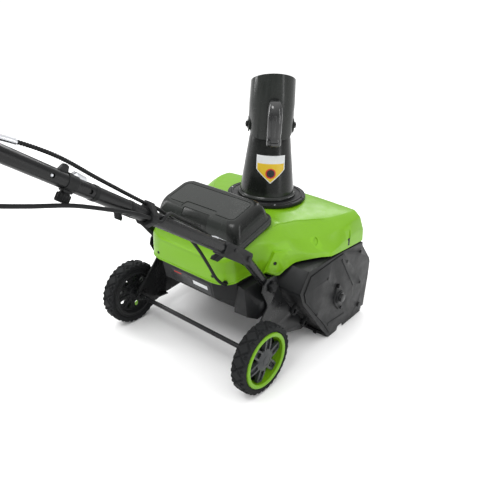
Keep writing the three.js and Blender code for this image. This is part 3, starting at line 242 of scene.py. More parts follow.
def rings(rows, loop=False, caps=True):
    """Rows of points, one behind the next, joined into a skin; loop joins the last to the first."""
    count, rows_n = len(rows[0]), len(rows)
    faces = []
    for row in range(rows_n if loop else rows_n - 1):
        a, b = row * count, ((row + 1) % rows_n) * count
        faces += [(a + i, a + (i + 1) % count, b + (i + 1) % count, b + i) for i in range(count)]
    if caps and not loop:
        faces.append(tuple(reversed(range(count))))
        faces.append(tuple((rows_n - 1) * count + i for i in range(count)))
    return tidied([p for row in rows for p in row], faces)


def lathe(profile, axis="z", centre=(0, 0, 0), sides=64):
    """A closed profile of (radius, distance along the axis), turned about that axis."""
    rows = []
    for step in range(sides):
        angle = 2 * math.pi * step / sides
        c, s = math.cos(angle), math.sin(angle)
        if axis == "z":
            rows.append([(centre[0] + r * c, centre[1] + r * s, centre[2] + h) for r, h in profile])
        elif axis == "x":
            rows.append([(centre[0] + h, centre[1] + r * c, centre[2] + r * s) for r, h in profile])
        else:
            rows.append([(centre[0] + r * c, centre[1] + h, centre[2] + r * s) for r, h in profile])
    return rings(rows, loop=True)


def drum(radius, a, b, axis="x", centre=(0, 0, 0), sides=40, chamfer=0.0):
    """A disc or rod from a to b along axis, with chamfered ends."""
    c = min(chamfer, abs(b - a) / 2, radius)
    step = c if b > a else -c
    profile = [(0, a), (radius - c, a), (radius, a + step), (radius, b - step), (radius - c, b),
               (0, b)] if c else [(0, a), (radius, a), (radius, b), (0, b)]
    return lathe(profile, axis, centre, sides)


def slab(outline, a, b, axis="x"):
    """An outline in the two other axes, in order, extruded along axis from a to b."""
    def at(u, v, w):
        return {"x": (w, u, v), "y": (u, w, v), "z": (u, v, w)}[axis]
    return rings([[at(u, v, a) for u, v in outline], [at(u, v, b) for u, v in outline]])


def hull(points):
    """The convex shell round points."""
    bm = bmesh.new()
    for p in points:
        bm.verts.new(p)
    made = bmesh.ops.convex_hull(bm, input=bm.verts)
    loose = [g for g in made["geom_interior"] + made["geom_unused"]
             if isinstance(g, bmesh.types.BMVert)]
    bmesh.ops.delete(bm, geom=list(set(loose)), context="VERTS")
    bmesh.ops.dissolve_limit(bm, angle_limit=math.radians(1), verts=bm.verts, edges=bm.edges)
    bmesh.ops.recalc_face_normals(bm, faces=bm.faces)
    return shell_of(bm)


def prism(xs, outline):
    """The convex shell of an outline of (y, z) points, repeated at each x."""
    return hull([(x, y, z) for x in xs for y, z in outline])


def block(x0, x1, y0, y1, z0, z1):
    return slab([(y0, z0), (y1, z0), (y1, z1), (y0, z1)], x0, x1)


def tube(points, radius, sides=20, ripple=None):
    """A round bar along points; ripple gives the radius at each point in turn."""
    centres = [Vector(p) for p in points]
    across = Vector((0.3, 0.2, 0.9))
    rows = []
    for step, centre in enumerate(centres):
        before, after = centres[max(step - 1, 0)], centres[min(step + 1, len(centres) - 1)]
        ahead = (after - before).normalized()
        across = (across - ahead * across.dot(ahead)).normalized()
        beside = ahead.cross(across)
        r = ripple(step) if ripple else radius
        rows.append([tuple(centre + across * r * math.cos(2 * math.pi * i / sides)
                           + beside * r * math.sin(2 * math.pi * i / sides)) for i in range(sides)])
    return rings(rows)


def curve_through(points, step):
    """A smooth centripetal curve through points, as points about step apart."""
    given = [Vector(p) for p in points]
    given = [given[0] * 2 - given[1]] + given + [given[-1] * 2 - given[-2]]
    fine = []
    for i in range(1, len(given) - 2):
        p = given[i - 1:i + 3]
        t = [0.0]
        for a, b in zip(p, p[1:]):
            t.append(t[-1] + (b - a).length ** 0.5)
        parts = 24
        for k in range(parts):
            u = t[1] + (t[2] - t[1]) * k / parts
            a1 = p[0] * (t[1] - u) / (t[1] - t[0]) + p[1] * (u - t[0]) / (t[1] - t[0])
            a2 = p[1] * (t[2] - u) / (t[2] - t[1]) + p[2] * (u - t[1]) / (t[2] - t[1])
            a3 = p[2] * (t[3] - u) / (t[3] - t[2]) + p[3] * (u - t[2]) / (t[3] - t[2])
            b1 = a1 * (t[2] - u) / (t[2] - t[0]) + a2 * (u - t[0]) / (t[2] - t[0])
            b2 = a2 * (t[3] - u) / (t[3] - t[1]) + a3 * (u - t[1]) / (t[3] - t[1])
            fine.append(b1 * (t[2] - u) / (t[2] - t[1]) + b2 * (u - t[1]) / (t[2] - t[1]))
    fine.append(given[-2])
    reach = [0.0]
    for a, b in zip(fine, fine[1:]):
        reach.append(reach[-1] + (b - a).length)
    count = max(2, round(reach[-1] / step))
    out, at = [], 0
    for k in range(count + 1):
        want = reach[-1] * k / count
        while at < len(reach) - 2 and reach[at + 1] < want:
            at += 1
        share = (want - reach[at]) / max(1e-9, reach[at + 1] - reach[at])
        out.append(fine[at].lerp(fine[at + 1], min(1.0, share)))
    return out


def rounded(half, y0, y1, radius, z, steps=8):
    """A ring of points round a rectangle with rounded corners."""
    corners = [(half - radius, y0 + radius, -90), (half - radius, y1 - radius, 0),
               (radius - half, y1 - radius, 90), (radius - half, y0 + radius, 180)]
    out = []
    for cx, cy, turn in corners:
        for k in range(steps + 1):
            angle = math.radians(turn + 90 * k / steps)
            out.append((cx + radius * math.cos(angle), cy + radius * math.sin(angle), z))
    return out


# ---------------------------------------------------------------- pieces
def solid(name, matrix, shells):
    """One object made of shells, each placed by matrix."""
    flip = matrix.determinant() < 0
    mesh = bpy.data.meshes.new(name)
    points, faces = [], []
    for shell_points, shell_faces in shells:
        base = len(points)
        points += [tuple(matrix @ Vector(p)) for p in shell_points]
        for face in shell_faces:
            order = tuple(base + i for i in face)
            faces.append(tuple(reversed(order)) if flip else order)
    mesh.from_pydata(points, [], faces)
    mesh.update()
    made = bpy.data.objects.new(name, mesh)
    bpy.context.scene.collection.objects.link(made)
    return made


def bake(made):
    """Applies the modifiers of an object to its mesh."""
    graph = bpy.context.evaluated_depsgraph_get()
    mesh = bpy.data.meshes.new_from_object(made.evaluated_get(graph))
    old = made.data
    made.modifiers.clear()
    made.data = mesh
    bpy.data.meshes.remove(old)
    return made


def combine(made, cutters, operation="DIFFERENCE"):
    """Cuts or joins whole objects, which are then removed."""
    for cutter in cutters:
        step = made.modifiers.new("step", "BOOLEAN")
        step.operation = operation
        step.solver = "EXACT"
        step.object = cutter
    bake(made)
    for cutter in cutters:
        mesh = cutter.data
        bpy.data.objects.remove(cutter)
        bpy.data.meshes.remove(mesh)
    return made


def carve(made, matrix, shells):
    """Cuts shells out of an object, one after the other."""
    return combine(made, [solid("cutter", matrix, [s]) for s in shells])


def fuse(made, matrix, shells):
    """Joins shells to an object, one after the other."""
    return combine(made, [solid("adder", matrix, [s]) for s in shells], "UNION")


def soften(made, width, segments=2, angle=28):
    """Rounds the sharp edges; width in millimetres."""
    step = made.modifiers.new("edges", "BEVEL")
    step.width = width * 0.001
    step.segments = segments
    step.limit_method = "ANGLE"
    step.angle_limit = math.radians(angle)
    step.use_clamp_overlap = True
    step.miter_outer = "MITER_ARC"
    return bake(made)


def dress(made, body, material, stands_for=(), sharp=32):
    """Smooths the shading, gives the material, and fixes the piece to its body."""
    mesh = made.data
    mesh.polygons.foreach_set("use_smooth", [True] * len(mesh.polygons))
    mesh.set_sharp_from_angle(angle=math.radians(sharp))
    mesh.materials.clear()
    mesh.materials.append(material)
    if stands_for:
        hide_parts(*stands_for)
    if body:
        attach(made, body)
    return made


def piece(name, body, matrix, shells, material, stands_for=(), width=0.0, sharp=32, segments=2):
    """A finished piece: solid, softened by width, and dressed."""
    made = solid(name, matrix, shells)
    if width:
        soften(made, width, segments)
    return dress(made, body, material, stands_for, sharp)


def refine(node, material, width=0.8, sharp=32, segments=2):
    """A CAD node with its flat facets merged and its edges rounded."""
    bm = bmesh.new()
    bm.from_mesh(NODES[node].data)
    bmesh.ops.remove_doubles(bm, verts=bm.verts, dist=2e-5)
    bmesh.ops.dissolve_limit(bm, angle_limit=math.radians(1.5), verts=bm.verts, edges=bm.edges)
    mesh = bpy.data.meshes.new(node + "_skin")
    bm.to_mesh(mesh)
    bm.free()
    for name in [a.name for a in mesh.attributes if a.name == "custom_normal"]:
        mesh.attributes.remove(mesh.attributes[name])
    made = bpy.data.objects.new(node + "_skin", mesh)
    bpy.context.scene.collection.objects.link(made)
    if width:
        soften(made, width, segments)
    return dress(made, NODES[node]["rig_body"], material, [node], sharp)


def facing(at, toward):
    """The frame at a point whose z axis looks in a direction."""
    return Matrix.Translation(at) @ Vector(toward).to_track_quat("Z", "Y").to_matrix().to_4x4()


def screw(name, body, matrix, at, toward, radius, height, material):
    """A pan-head screw with a cross recess, standing on at and facing toward."""
    seat = matrix @ facing(at, toward)
    head = [(0, -1), (radius, -1), (radius, height * 0.35), (radius * 0.86, height * 0.8),
            (radius * 0.5, height), (0, height)]
    made = solid(name, seat, [lathe(head, sides=28)])
    long, thin = radius * 0.62, radius * 0.16
    carve(made, seat, [block(-long, long, -thin, thin, height * 0.45, height + 2),
                       block(-thin, thin, -long, long, height * 0.45, height + 2)])
    return dress(made, body, material)


# ---------------------------------------------------------------- cables
CONDUITS = {
    "conduit_a": [
        (188, 358, -20.5), (188, 400, -22), (190, 489, -26), (191, 581, -31), (186, 660, -24),
        (176, 720, -10), (168, 780, 14), (165, 860, 32), (148, 925, 42), (110, 956, 42),
        (56, 961, 40), (52.6, 961, 40)],
    "conduit_b": [
        (214.4, 358, 2), (215, 400, 5), (215, 448, 14), (212, 530, 32), (208, 605, 58),
        (203, 660, 76), (195, 730, 94), (184, 800, 101), (172, 880, 92), (150, 935, 78),
        (110, 958, 66), (56, 965, 60), (52.6, 965, 60)],
}
FREE_CORDS = {
    "rear_cord": [
        (188, -268, 586.3), (186, -252, 574.8), (180, -222, 548), (168, -182, 508),
        (160, -150, 470), (155, -112, 418), (151, -78, 362), (147, -46, 308), (145.6, -22, 282),
        (142.6, -10.8, 272.8), (139, -7, 272), (135.9, -3.9, 272)],
    "side_cord": [
        (214.4, -281.5, 568), (214.2, -268, 560), (209, -249, 565), (200, -232, 561),
        (189, -214, 549), (178, -188, 529), (169, -138, 492), (163, -98, 458), (159.5, -63, 424),
        (159.5, -30, 388), (160, 0, 356), (160.5, 26, 330), (163, 48, 311), (165, 61, 302),
        (165, 69, 298), (163.4, 73, 296.3), (160.4, 74, 296), (157, 74, 296), (153.4, 74, 296)],
}


def lay_conduit(name, ribbed):
    line = curve_through(CONDUITS[name], 1.25 if ribbed else 4)
    ripple = (lambda step: CABLE_R if step % 4 < 2 else CABLE_R - 0.75) if ribbed else None
    made = solid(name + "_sleeve", HANDLE, [tube(line, CABLE_R, 16, ripple)])
    dress(made, "handle", RUBBER, [name], sharp=60)


def lay_free_cord(name):
    """Two lengths, one over each fold of the handle, that meet on the lower handle."""
    line = curve_through(FREE_CORDS[name], 4)
    meet = min(range(len(line)), key=lambda i: abs(line[i].z - 420))
    path = [MACHINE @ p for p in line]
    low, high = path[:meet - 1:-1], path[meet::-1]
    for part, run, a, b in (("low", low, "machine", "lower_handle"),
                            ("high", high, "lower_handle", "handle")):
        cable = solid(f"{name}_{part}", Matrix.Identity(4), [tube(run, CABLE_R * 0.001, 16)])
        dress(cable, None, RUBBER, [name], sharp=60)
        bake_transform(cable, a, b, start=run[0], end=run[-1])


lay_conduit("conduit_a", True)
lay_conduit("conduit_b", False)
lay_free_cord("rear_cord")
lay_free_cord("side_cord")


# ---------------------------------------------------------------- hood
# Half sections from the top centre out and down to the lower edge, by distance ahead of the axle.
HOOD = [
    (-13, (0, 330), (50, 330), (86, 329), (93, 322), (96, 300), (97, 264)),
    (-8, (0, 334), (60, 334), (108, 333), (116, 325), (118, 300), (118, 264)),
    (4, (0, 338), (70, 338), (126, 337), (134, 328), (136, 300), (136, 264)),
    (24, (0, 344), (75, 344), (136, 342), (144, 334), (146, 300), (146, 264)),
    (60, (0, 353), (75, 353), (139, 351), (147, 342), (148, 300), (147, 264)),
    (100, (0, 363), (75, 363), (141, 360), (152, 345), (154, 300), (152, 262)),
    (124, (0, 369), (80, 369), (144, 365), (162, 342), (172, 296), (174, 257)),
    (141, (0, 373.5), (80, 373), (147, 368), (172, 340), (190, 290), (192, 252)),
    (158, (0, 378), (80, 377), (149, 371), (178, 340), (201, 295), (204, 268)),
    (190, (0, 385), (80, 383), (152, 373), (190, 340), (213, 303), (216, 281)),
    (219, (0, 377), (82, 375.5), (156, 367.5), (199, 333), (228, 298), (231, 281.5)),
    (250, (0, 374.5), (85, 372.8), (160, 363), (209, 327), (243, 292), (247, 280.5)),
    (291, (0, 372), (95, 369), (180, 358), (229, 325), (262, 289), (265, 275.5)),
    (346, (0, 369), (115, 366), (216, 356), (252, 334), (265, 297), (265, 269.5)),
    (400, (0, 366), (120, 365), (236, 358), (258, 342), (266, 305), (265, 265)),
    (436, (0, 361), (120, 360), (238, 355), (257, 338), (266, 303), (265, 262)),
    (451, (0, 346), (115, 345), (230, 341), (252, 327), (264, 298), (265, 261)),
    (456, (0, 320), (110, 319), (222, 316), (246, 303), (260, 284), (262, 260)),
]
HOOD_WALL = 3
COLLAR_SEAT = 115
THROAT = 76
GROMMET = (130, 2, 272)
GLAND = (151.6, 74, 296)
OVAL = (263, 316)  # distance ahead of the axle, and height
HINGE = (0, 166, 9)
SCREW_TAB = [(170, 108, 266), (180, 134, 322), (212, 213, 316), (214, 202, 300), (203, 170, 283),
             (196, 146, 262), (184, 128, 255)]
SCREW_TAB_LIFT = (1.3, 1.3, 0.15, 0.3, 1.0, 1.3, 1.3)


def eased(places, values, at):
    """A value between stations that never overshoots them."""
    slopes = [(b - a) / (q - p) for p, q, a, b in zip(places, places[1:], values, values[1:])]
    lean = [slopes[0]] + [0 if a * b <= 0 else 2 * a * b / (a + b)
                          for a, b in zip(slopes, slopes[1:])] + [slopes[-1]]
    i = max(k for k in range(len(places) - 1) if places[k] <= at or k == 0)
    h = places[i + 1] - places[i]
    t = (at - places[i]) / h
    return ((2 * t ** 3 - 3 * t ** 2 + 1) * values[i] + (t ** 3 - 2 * t ** 2 + t) * h * lean[i]
            + (3 * t ** 2 - 2 * t ** 3) * values[i + 1] + (t ** 3 - t ** 2) * h * lean[i + 1])


def hood_corner(corner, y):
    """One corner of the half section at a distance from the axle."""
    places = [row[0] for row in HOOD]
    return tuple(eased(places, [row[corner][k] for row in HOOD], y) for k in (0, 1))


def hood_half(y):
    """The half section at y, with its corners rounded."""
    half = [hood_corner(k, y) for k in range(1, 7)]
    for share in (0.055, 0.25):
        cut = [half[0]]
        for (x0, z0), (x1, z1) in zip(half, half[1:]):
            cut += [(x0 + (x1 - x0) * share, z0 + (z1 - z0) * share),
                    (x1 + (x0 - x1) * share, z1 + (z0 - z1) * share)]
        half = cut + [half[-1]]
        half = [half[0]] + half[2:-2] + [half[-1]]
    return half


def hood_side(y, z):
    """How far out the side of the hood stands at a distance from the axle and a height."""
    half = hood_half(y)
    for (x0, z0), (x1, z1) in zip(half, half[1:]):
        if z1 <= z <= z0 and z0 > z1:
            return x0 + (x1 - x0) * (z0 - z) / (z0 - z1)
    return half[-1][0]


def hood_skin(inset):
    """The hood's outside, or its inside when inset by the wall."""
    marks = [-13, -11.5, -10, -8, -5.5, -3, 0, 4, 8, 13, 18, 24] + list(range(30, 430, 6))
    marks += [432, 436, 440, 444, 447, 450, 452, 454, 456]
    rows = []
    for mark in marks:
        half = hood_half(mark)
        if inset:
            half = [(max(0, x - inset), z - (34 if k == len(half) - 1 else inset))
                    for k, (x, z) in enumerate(half)]
            half[0] = (0, half[0][1])
            mark = min(456 - inset, max(-13 + inset, mark))
        row = [(x, mark, z) for x, z in half] + [(-x, mark, z) for x, z in reversed(half[1:])]
        if not rows or mark != rows[-1][0][1] or mark not in (456 - inset, -13 + inset):
            rows.append(row)
    return rings(rows)


def raised_tab(outline, lifts, out, inset):
    """A low plateau on a wall: its foot, and the same outline drawn in and moved out by lifts."""
    middle = sum((Vector(p) for p in outline), Vector()) / len(outline)
    foot = [Vector(p) - Vector(out) for p in outline]
    top = [Vector(p).lerp(middle, inset) + Vector(out) * lift for p, lift in zip(outline, lifts)]
    return hull([tuple(p) for p in foot + top])


def make_hood():
    made = solid("hood_shell", MACHINE, [hood_skin(0)])
    inner = solid("hood_inside", MACHINE, [hood_skin(HOOD_WALL)])
    combine(made, [inner])
    for matrix in SIDES.values():
        tab = raised_tab(SCREW_TAB, SCREW_TAB_LIFT, (3.0, -1.2, 1.2), 0.09)
        fuse(made, MACHINE @ matrix, [tab])
    carve(made, COLLAR, [lathe([(0, -90), (THROAT, -90), (THROAT, 60), (0, 60)], sides=72),
                         lathe([(0, -10.3), (COLLAR_SEAT, -10.3), (COLLAR_SEAT, 60), (0, 60)],
                               sides=96)])
    bay = [rounded(59.5, 26.5, 155.5, 6, 295), rounded(59.5, 26.5, 155.5, 6, 420)]
    carve(made, MACHINE, [rings(bay)])
    along = MACHINE @ Matrix.Translation(GROMMET) @ Matrix.Rotation(math.radians(-45), 4, "Z")
    carve(made, along, [drum(5.8, -20, 12)])
    carve(made, MACHINE, [drum(5.8, 120, 170, centre=(0, GLAND[1], GLAND[2]))])
    for matrix in SIDES.values():
        sided = MACHINE @ matrix
        y, z = OVAL
        outward = Vector((6, hood_side(y - 3, z) - hood_side(y + 3, z),
                          hood_side(y, z - 3) - hood_side(y, z + 3))).normalized()
        upright = (sided @ facing((hood_side(y, z), y, z), outward)
                   @ Matrix.Rotation(math.radians(-24), 4, "Z"))
        carve(made, upright @ Matrix.Diagonal((0.55, 1.0, 1.0, 1.0)),
              [drum(12, -2.7, 8, "z", sides=56)])
        notch = [(hood_side(y, z) - 0.7, y, z)
                 for y, z in ((357, 321), (379, 320), (366, 290), (377, 290))]
        carve(made, sided, [hull(notch + [(x + 14, y, z + 6) for x, y, z in notch])])
        carve(made, sided @ facing((187.5, 133, 290), (0.93, -0.3, 0.25)), [
            drum(5.2, -3.5, 14, "z"), drum(2.6, -8, 0, "z")])
        carve(made, sided, [drum(5.5, -16, -12, "y", centre=(100, 0, 283), sides=28)])
    soften(made, 1.1, 2, angle=34)
    dress(made, "machine", GREEN, ["hood"], sharp=38)


make_hood()


def rear_edge():
    """The lower edge round the hood's rear, from one side to the other."""
    marks = [100, 80, 60, 42, 30, 24, 18, 13, 8, 4, 0, -3, -5.5, -8, -10, -11.5, -13]
    right = [(hood_half(y)[-1][0], y, hood_half(y)[-1][1]) for y in marks]
    return right + [(-x, y, z) for x, y, z in reversed(right)]


def sweep_edge(line, section):
    """A section of (outward, up) points carried along a line that goes round the hood."""
    rows = []
    for k, point in enumerate(line):
        before, after = Vector(line[max(k - 1, 0)]), Vector(line[min(k + 1, len(line) - 1)])
        ahead = (after - before).normalized()
        out = Vector((-ahead.y, ahead.x, 0)).normalized()
        rows.append([tuple(Vector(point) + out * o + Vector((0, 0, u))) for o, u in section])
    return rings(rows)


LIP = [(-2, 0), (1.5, 0), (2.0, 1.0), (2.0, 3.2), (1.2, 4.4), (-2, 5)]
piece("hood_lower_lip", "machine", MACHINE, [sweep_edge(rear_edge(), LIP)], GREEN, width=0.4)


def crease_line(corner, start, stop, lift):
    """A line beside one crease of the hood, between two distances from the axle."""
    marks = [start + (stop - start) * k / 30 for k in range(31)]
    return [(hood_corner(corner, y)[0] + lift * 0.6, y, hood_corner(corner, y)[1] + lift * 0.8)
            for y in marks]


for name, matrix in SIDES.items():
    piece(f"hood_shoulder_bead_{name}", "machine", MACHINE @ matrix,
          [tube(crease_line(3, 165, 330, -1.3), 2.0, 16)], GREEN)

# A black insert in the lower half of the notch in each side: painted shade where the notch lies in shadow.
for name, matrix in SIDES.items():
    piece(f"hood_notch_shade_{name}", "machine", MACHINE @ matrix,
          [hull([(hood_side(y, z) + lift, y, z) for lift in (-2.4, 0.5) for y, z in (
              (367, 296), (376, 296), (368.3, 275.5), (375.2, 275.5))])], BLACK)

# Cover hinge: two ears moulded on the hood, and the pin between them.
EAR = [(184, 376), (198, 375), (193, 397.4), (190, 401), (183.5, 401), (182, 397.4)]
piece("hinge_ears", "machine", MACHINE, [slab(EAR, -98, -90), slab(EAR, 90, 98)], GREEN, width=1.2)
piece("hinge_pin", "machine", DECK, [drum(2.6, -96, 96, centre=HINGE, chamfer=0.6)], STEEL)
for number, side in enumerate((-1, 1)):
    screw(f"hood_rear_screw_{number}", "machine", MACHINE, (side * 100, -11.6, 283), (0, -1, 0),
          4.2, 1.4, BLACK)
    screw(f"hood_tab_screw_{number}", "machine", MACHINE, (side * 187.2, 133.2, 289.8),
          (side * 0.93, -0.3, 0.25), 4.4, 0.8, BLACK)


# ---------------------------------------------------------------- battery cover and latch
COVER_RINGS = [
    (151, -6, 156, 30, 0), (152.6, -7.6, 157.6, 31.6, 1.2), (153, -8, 158, 32, 3),
    (153, -8, 158, 32, 12.4), (152.2, -7.2, 157.2, 31.2, 14.6), (149.6, -4.6, 154.6, 30, 16.2),
    (147.2, -2, 151.4, 28.6, 16.6), (146.6, -1, 150.6, 28, 18), (146, 0.4, 150, 28, 22),
    (144, 4, 149, 28, 32), (141.2, 8.4, 147.8, 28, 43), (138.6, 12.6, 145.8, 27.6, 50),
    (135.6, 17.4, 142.8, 27, 56.4), (132.4, 22.2, 139.4, 26.4, 61), (129.4, 26.2, 135.6, 25.6, 64),
    (126.2, 29.8, 131.8, 24.6, 65.6), (122.4, 33.2, 127.8, 22, 66.1),
]
COVER_HOLLOW = [(146, 0, 150, 28, -5), (142, 3, 147, 26, 15), (138, 11, 145, 26, 42),
                (126, 29, 132, 22, 62)]
LATCH_HALF = 45


def frame_groove(half, y0, y1, radius, z, width, depth):
    """A groove round a rounded rectangle, cut down from z."""
    outer = [rounded(half, y0, y1, radius, level) for level in (z - depth, z + 8)]
    inner = [rounded(half - width, y0 + width, y1 - width, radius - width, level)
             for level in (z - depth - 1, z + 9)]
    made = solid("groove", DECK, [rings(outer)])
    return combine(made, [solid("core", DECK, [rings(inner)])])


def make_cover():
    made = solid("battery_cover_shell", DECK, [rings([rounded(*r, 10) for r in COVER_RINGS])])
    carve(made, DECK, [rings([rounded(*r, 10) for r in COVER_HOLLOW])])
    combine(made, [frame_groove(117, 38, 122, 15, 66.2, 2.4, 1.3)])
    carve(made, DECK, [block(-LATCH_HALF - 0.5, LATCH_HALF + 0.5, -20, 32, 18.5, 80)])
    carve(made, DECK, [rings([rounded(56, 20, 52, 9, 64.9), rounded(58, 18, 54, 9, 80)])])
    for side in (-1, 1):
        dent = hull([(side * x, y, z) for x, y, z in (
            (149, 44, 20.5), (149, 118, 20.5), (140.9, 52, 41), (140.9, 108, 41),
            (160, 44, 20.5), (160, 118, 20.5), (160, 52, 41), (160, 108, 41))])
        carve(made, DECK, [dent])
    for x in (-70, 70):
        fuse(made, DECK, [drum(5, x - 18, x + 18, centre=HINGE, chamfer=0.8),
                          block(x - 18, x + 18, 150, 166, 4, 13.5)])
    carve(made, DECK, [drum(2.9, -120, 120, centre=HINGE)])
    soften(made, 0.9, 2, angle=34)
    dress(made, "cover", SATIN, ["battery_cover"], sharp=40)


make_cover()
LATCH = [(1, 20), (3, 27.5), (6, 36), (9, 44.6), (13, 50.5), (18, 56), (24, 60.8), (28, 63.2),
         (31.2, 64.4), (31.2, 60), (26, 57), (12, 42), (6, 20)]
latch = solid("cover_latch_shell", DECK, [slab(LATCH, -LATCH_HALF, LATCH_HALF)])
carve(latch, DECK, [prism((-30, 30), [(-2, 27), (4.4, 27), (9.6, 42.5), (7, 46), (-2, 50)])])
soften(latch, 0.9, 3)
dress(latch, "latch", SATIN, ["cover_latch"], sharp=40)
piece("latch_ridges", "latch", DECK,
      [hull([(x, 4.2 + 0.26 * z - 0.26 * 27, z) for x in (-26, 26) for z in (z0, z0 + 1.8)]
            + [(x, 2.8 + 0.26 * (z0 - 27), z0 + 0.9) for x in (-25, 25)])
       for z0 in (30, 34, 38)], BLACK)


# ---------------------------------------------------------------- wheels
TYRE_R = 95
WHEEL_X = 249
TREAD_STEPS = 16
OPENINGS = 9
SPOKES = 6


def groove_depth(turn, across):
    """How deep the tread is cut at a place: crossing slanted grooves and side notches."""
    pitch = turn * TREAD_STEPS
    depth = 0.0
    for lean in (1, -1):
        line = (pitch + lean * across / 40.0) % 1.0
        near = abs(line - 0.5) * 37.0
        depth = max(depth, 3.4 * min(1.0, max(0.0, (3.8 - near) / 1.1)))
    if abs(across) > 11:
        near = abs((pitch % 1.0) - 0.5) * 37.0
        depth = max(depth, 3.8 * min(1.0, max(0.0, (4.6 - near) / 1.2)))
    return depth


def tyre_shell():
    """The tyre: smooth sidewalls, and a crowned tread with its grooves cut in."""
    inner = [(77, -18), (79.5, -19.6), (82, -20.6), (84.5, -20.4), (87, -20.9), (89.2, -20.4)]
    tread = []
    columns = 30
    for k in range(columns + 1):
        x = -19.6 + 39.2 * k / columns
        drop = 1.6 * max(0.0, (abs(x) - 8) / 11.6) ** 2 + (1.0 if k in (0, columns) else 0)
        tread.append((TYRE_R - drop, x))
    profile = [(r, x, False) for r, x in inner] + [(r, x, True) for r, x in tread]
    profile += [(r, -x, False) for r, x in reversed(inner)]
    sides = TREAD_STEPS * 12
    rows = []
    for step in range(sides):
        turn = step / sides
        angle = 2 * math.pi * turn
        row = []
        for r, x, cut in profile:
            shoulder = abs(x) > 19
            deep = groove_depth(turn, x) * (0.7 if shoulder else 1.0) if cut else 0.0
            row.append((x, (r - deep) * math.cos(angle), (r - deep) * math.sin(angle)))
        rows.append(row)
    return rings(rows, loop=True)


RIM = [(63, -1), (66, 3), (67, 14), (65.2, 19.4), (66.2, 21.6), (68.2, 22.9), (71, 23.4),
       (73.6, 22.9), (75.4, 21.6), (76.6, 19.6), (76.7, -4), (63, -4)]
DISC = [(6.8, -12.6), (15.6, -12.6), (17, -11.4), (17, -8.6), (20, -8), (30, -7.6), (31.5, -8.6),
        (34, -8.6), (35.5, -7.6), (53.5, -7.6), (55, -9), (60, -9.4), (61.6, -12), (62.6, -18.4),
        (64.5, -19.4), (68, -19.2), (69.4, -17.8), (72.6, -17.8), (74, -18.8), (76.4, -17.6),
        (76.7, -4.3), (20, -4.3), (18, 6), (6.8, 6)]


def arm(matrix):
    """One channel-section spoke."""
    made = solid("arm", matrix, [hull([
        (2, 19, -11), (15.5, 19, -11), (2, 19, 11), (15.5, 19, 11), (3, 40, -12.5), (15, 40, -12.5),
        (3, 40, 12.5), (15, 40, 12.5), (5, 62, -11), (12.5, 62, -11), (5, 62, 11),
        (12.5, 62, 11), (5.5, 64.5, -6), (12, 64.5, -6), (5.5, 64.5, 6), (12, 64.5, 6)])])
    carve(made, matrix, [hull([(10, 30, -6.4), (20, 30, -7.4), (10, 30, 6.4), (20, 30, 7.4),
                               (9, 57, -6.2), (20, 57, -7.2), (9, 57, 6.2), (20, 57, 7.2),
                               (9, 60, 0), (20, 61, 0)])])
    return made


def make_wheel(name):
    side = 1 if name == "right" else -1
    hub = MACHINE @ Matrix.Translation((side * WHEEL_X, 0, TYRE_R)) @ SIDES[name]
    body = "wheel_" + name
    made = solid(f"tyre_{name}", hub, [tyre_shell()])
    dress(made, body, TYRE, [f"wheel_tyre_{name}"], sharp=24)
    beads = [lathe([(r - 0.6, x - 0.7), (r + 0.6, x - 0.7), (r + 0.6, x + 0.4), (r - 0.6, x + 0.4)],
                   "x", sides=96) for r, x in ((81, 20.6), (86.4, 21.1))]
    piece(f"tyre_beads_{name}", body, hub, beads, TYRE, width=0.3)
    piece(f"rim_{name}", body, hub, [lathe(RIM, "x", sides=96)], GREEN, [f"wheel_rim_{name}"])
    disc = solid(f"wheel_disc_{name}_shell", hub, [lathe(DISC, "x", sides=90)])
    openings = []
    for step in range(OPENINGS):
        angle = 2 * math.pi * step / OPENINGS
        oval = []
        for k in range(28):
            a = 2 * math.pi * k / 28
            u, v = 9.6 * math.cos(a), 7.2 * math.sin(a)
            oval.append((44 * math.cos(angle) + u * math.cos(angle) - v * math.sin(angle),
                         44 * math.sin(angle) + u * math.sin(angle) + v * math.cos(angle)))
        openings.append(slab(oval, -30, 0))
    carve(disc, hub, openings)
    soften(disc, 0.7, 2, angle=30)
    dress(disc, body, BLACK, [f"wheel_disc_{name}"], sharp=36)
    ribs = [hull([(x, r * math.cos(a) + w * math.sin(a), r * math.sin(a) - w * math.cos(a))
                  for x, r, w in ((-7, 19, 1.1), (-7, 19, -1.1), (-7, 58, 1.1), (-7, 58, -1.1),
                                  (-10.6, 19, 0.8), (-10.6, 19, -0.8),
                                  (-9.4, 57, 0.8), (-9.4, 57, -0.8))])
            for a in (2 * math.pi * (s + 0.5) / OPENINGS for s in range(OPENINGS))]
    piece(f"disc_ribs_{name}", body, hub, ribs, BLACK, width=0.4)
    dome = lathe([(0, 7), (27, 7), (29.4, 9), (29.8, 12), (28.4, 14.8), (24.6, 17.4), (17, 19.3),
                  (9, 20.3), (0, 20.6)], "x", sides=64)
    made = solid(f"spider_{name}", hub, [dome])
    arms = [arm(hub @ Matrix.Rotation(math.radians(360 / SPOKES * step + 12), 4, "X"))
            for step in range(SPOKES)]
    combine(made, arms, "UNION")
    soften(made, 0.9, 2, angle=30)
    dress(made, body, GREY, [f"wheel_spider_{name}"], sharp=38)
    ring = lathe([(12.4, 18.6), (13.6, 18.6), (13.6, 20.4), (12.4, 20.6)], "x", sides=48)
    piece(f"hub_ring_{name}", body, hub, [ring], GREY, width=0.3)


for wheel_name in SIDES:
    make_wheel(wheel_name)


# ---------------------------------------------------------------- collar, chute and deflector
PIVOT_Z = 200.5
BACK = -63.8  # where the deflector's wall stands behind
CONE = ((12, 78.5), (166, 58.5))


def cone_radius(z):
    """Outside radius of the chute at a height above the collar."""
    (z0, r0), (z1, r1) = CONE
    return r0 + (r1 - r0) * (z - z0) / (z1 - z0)


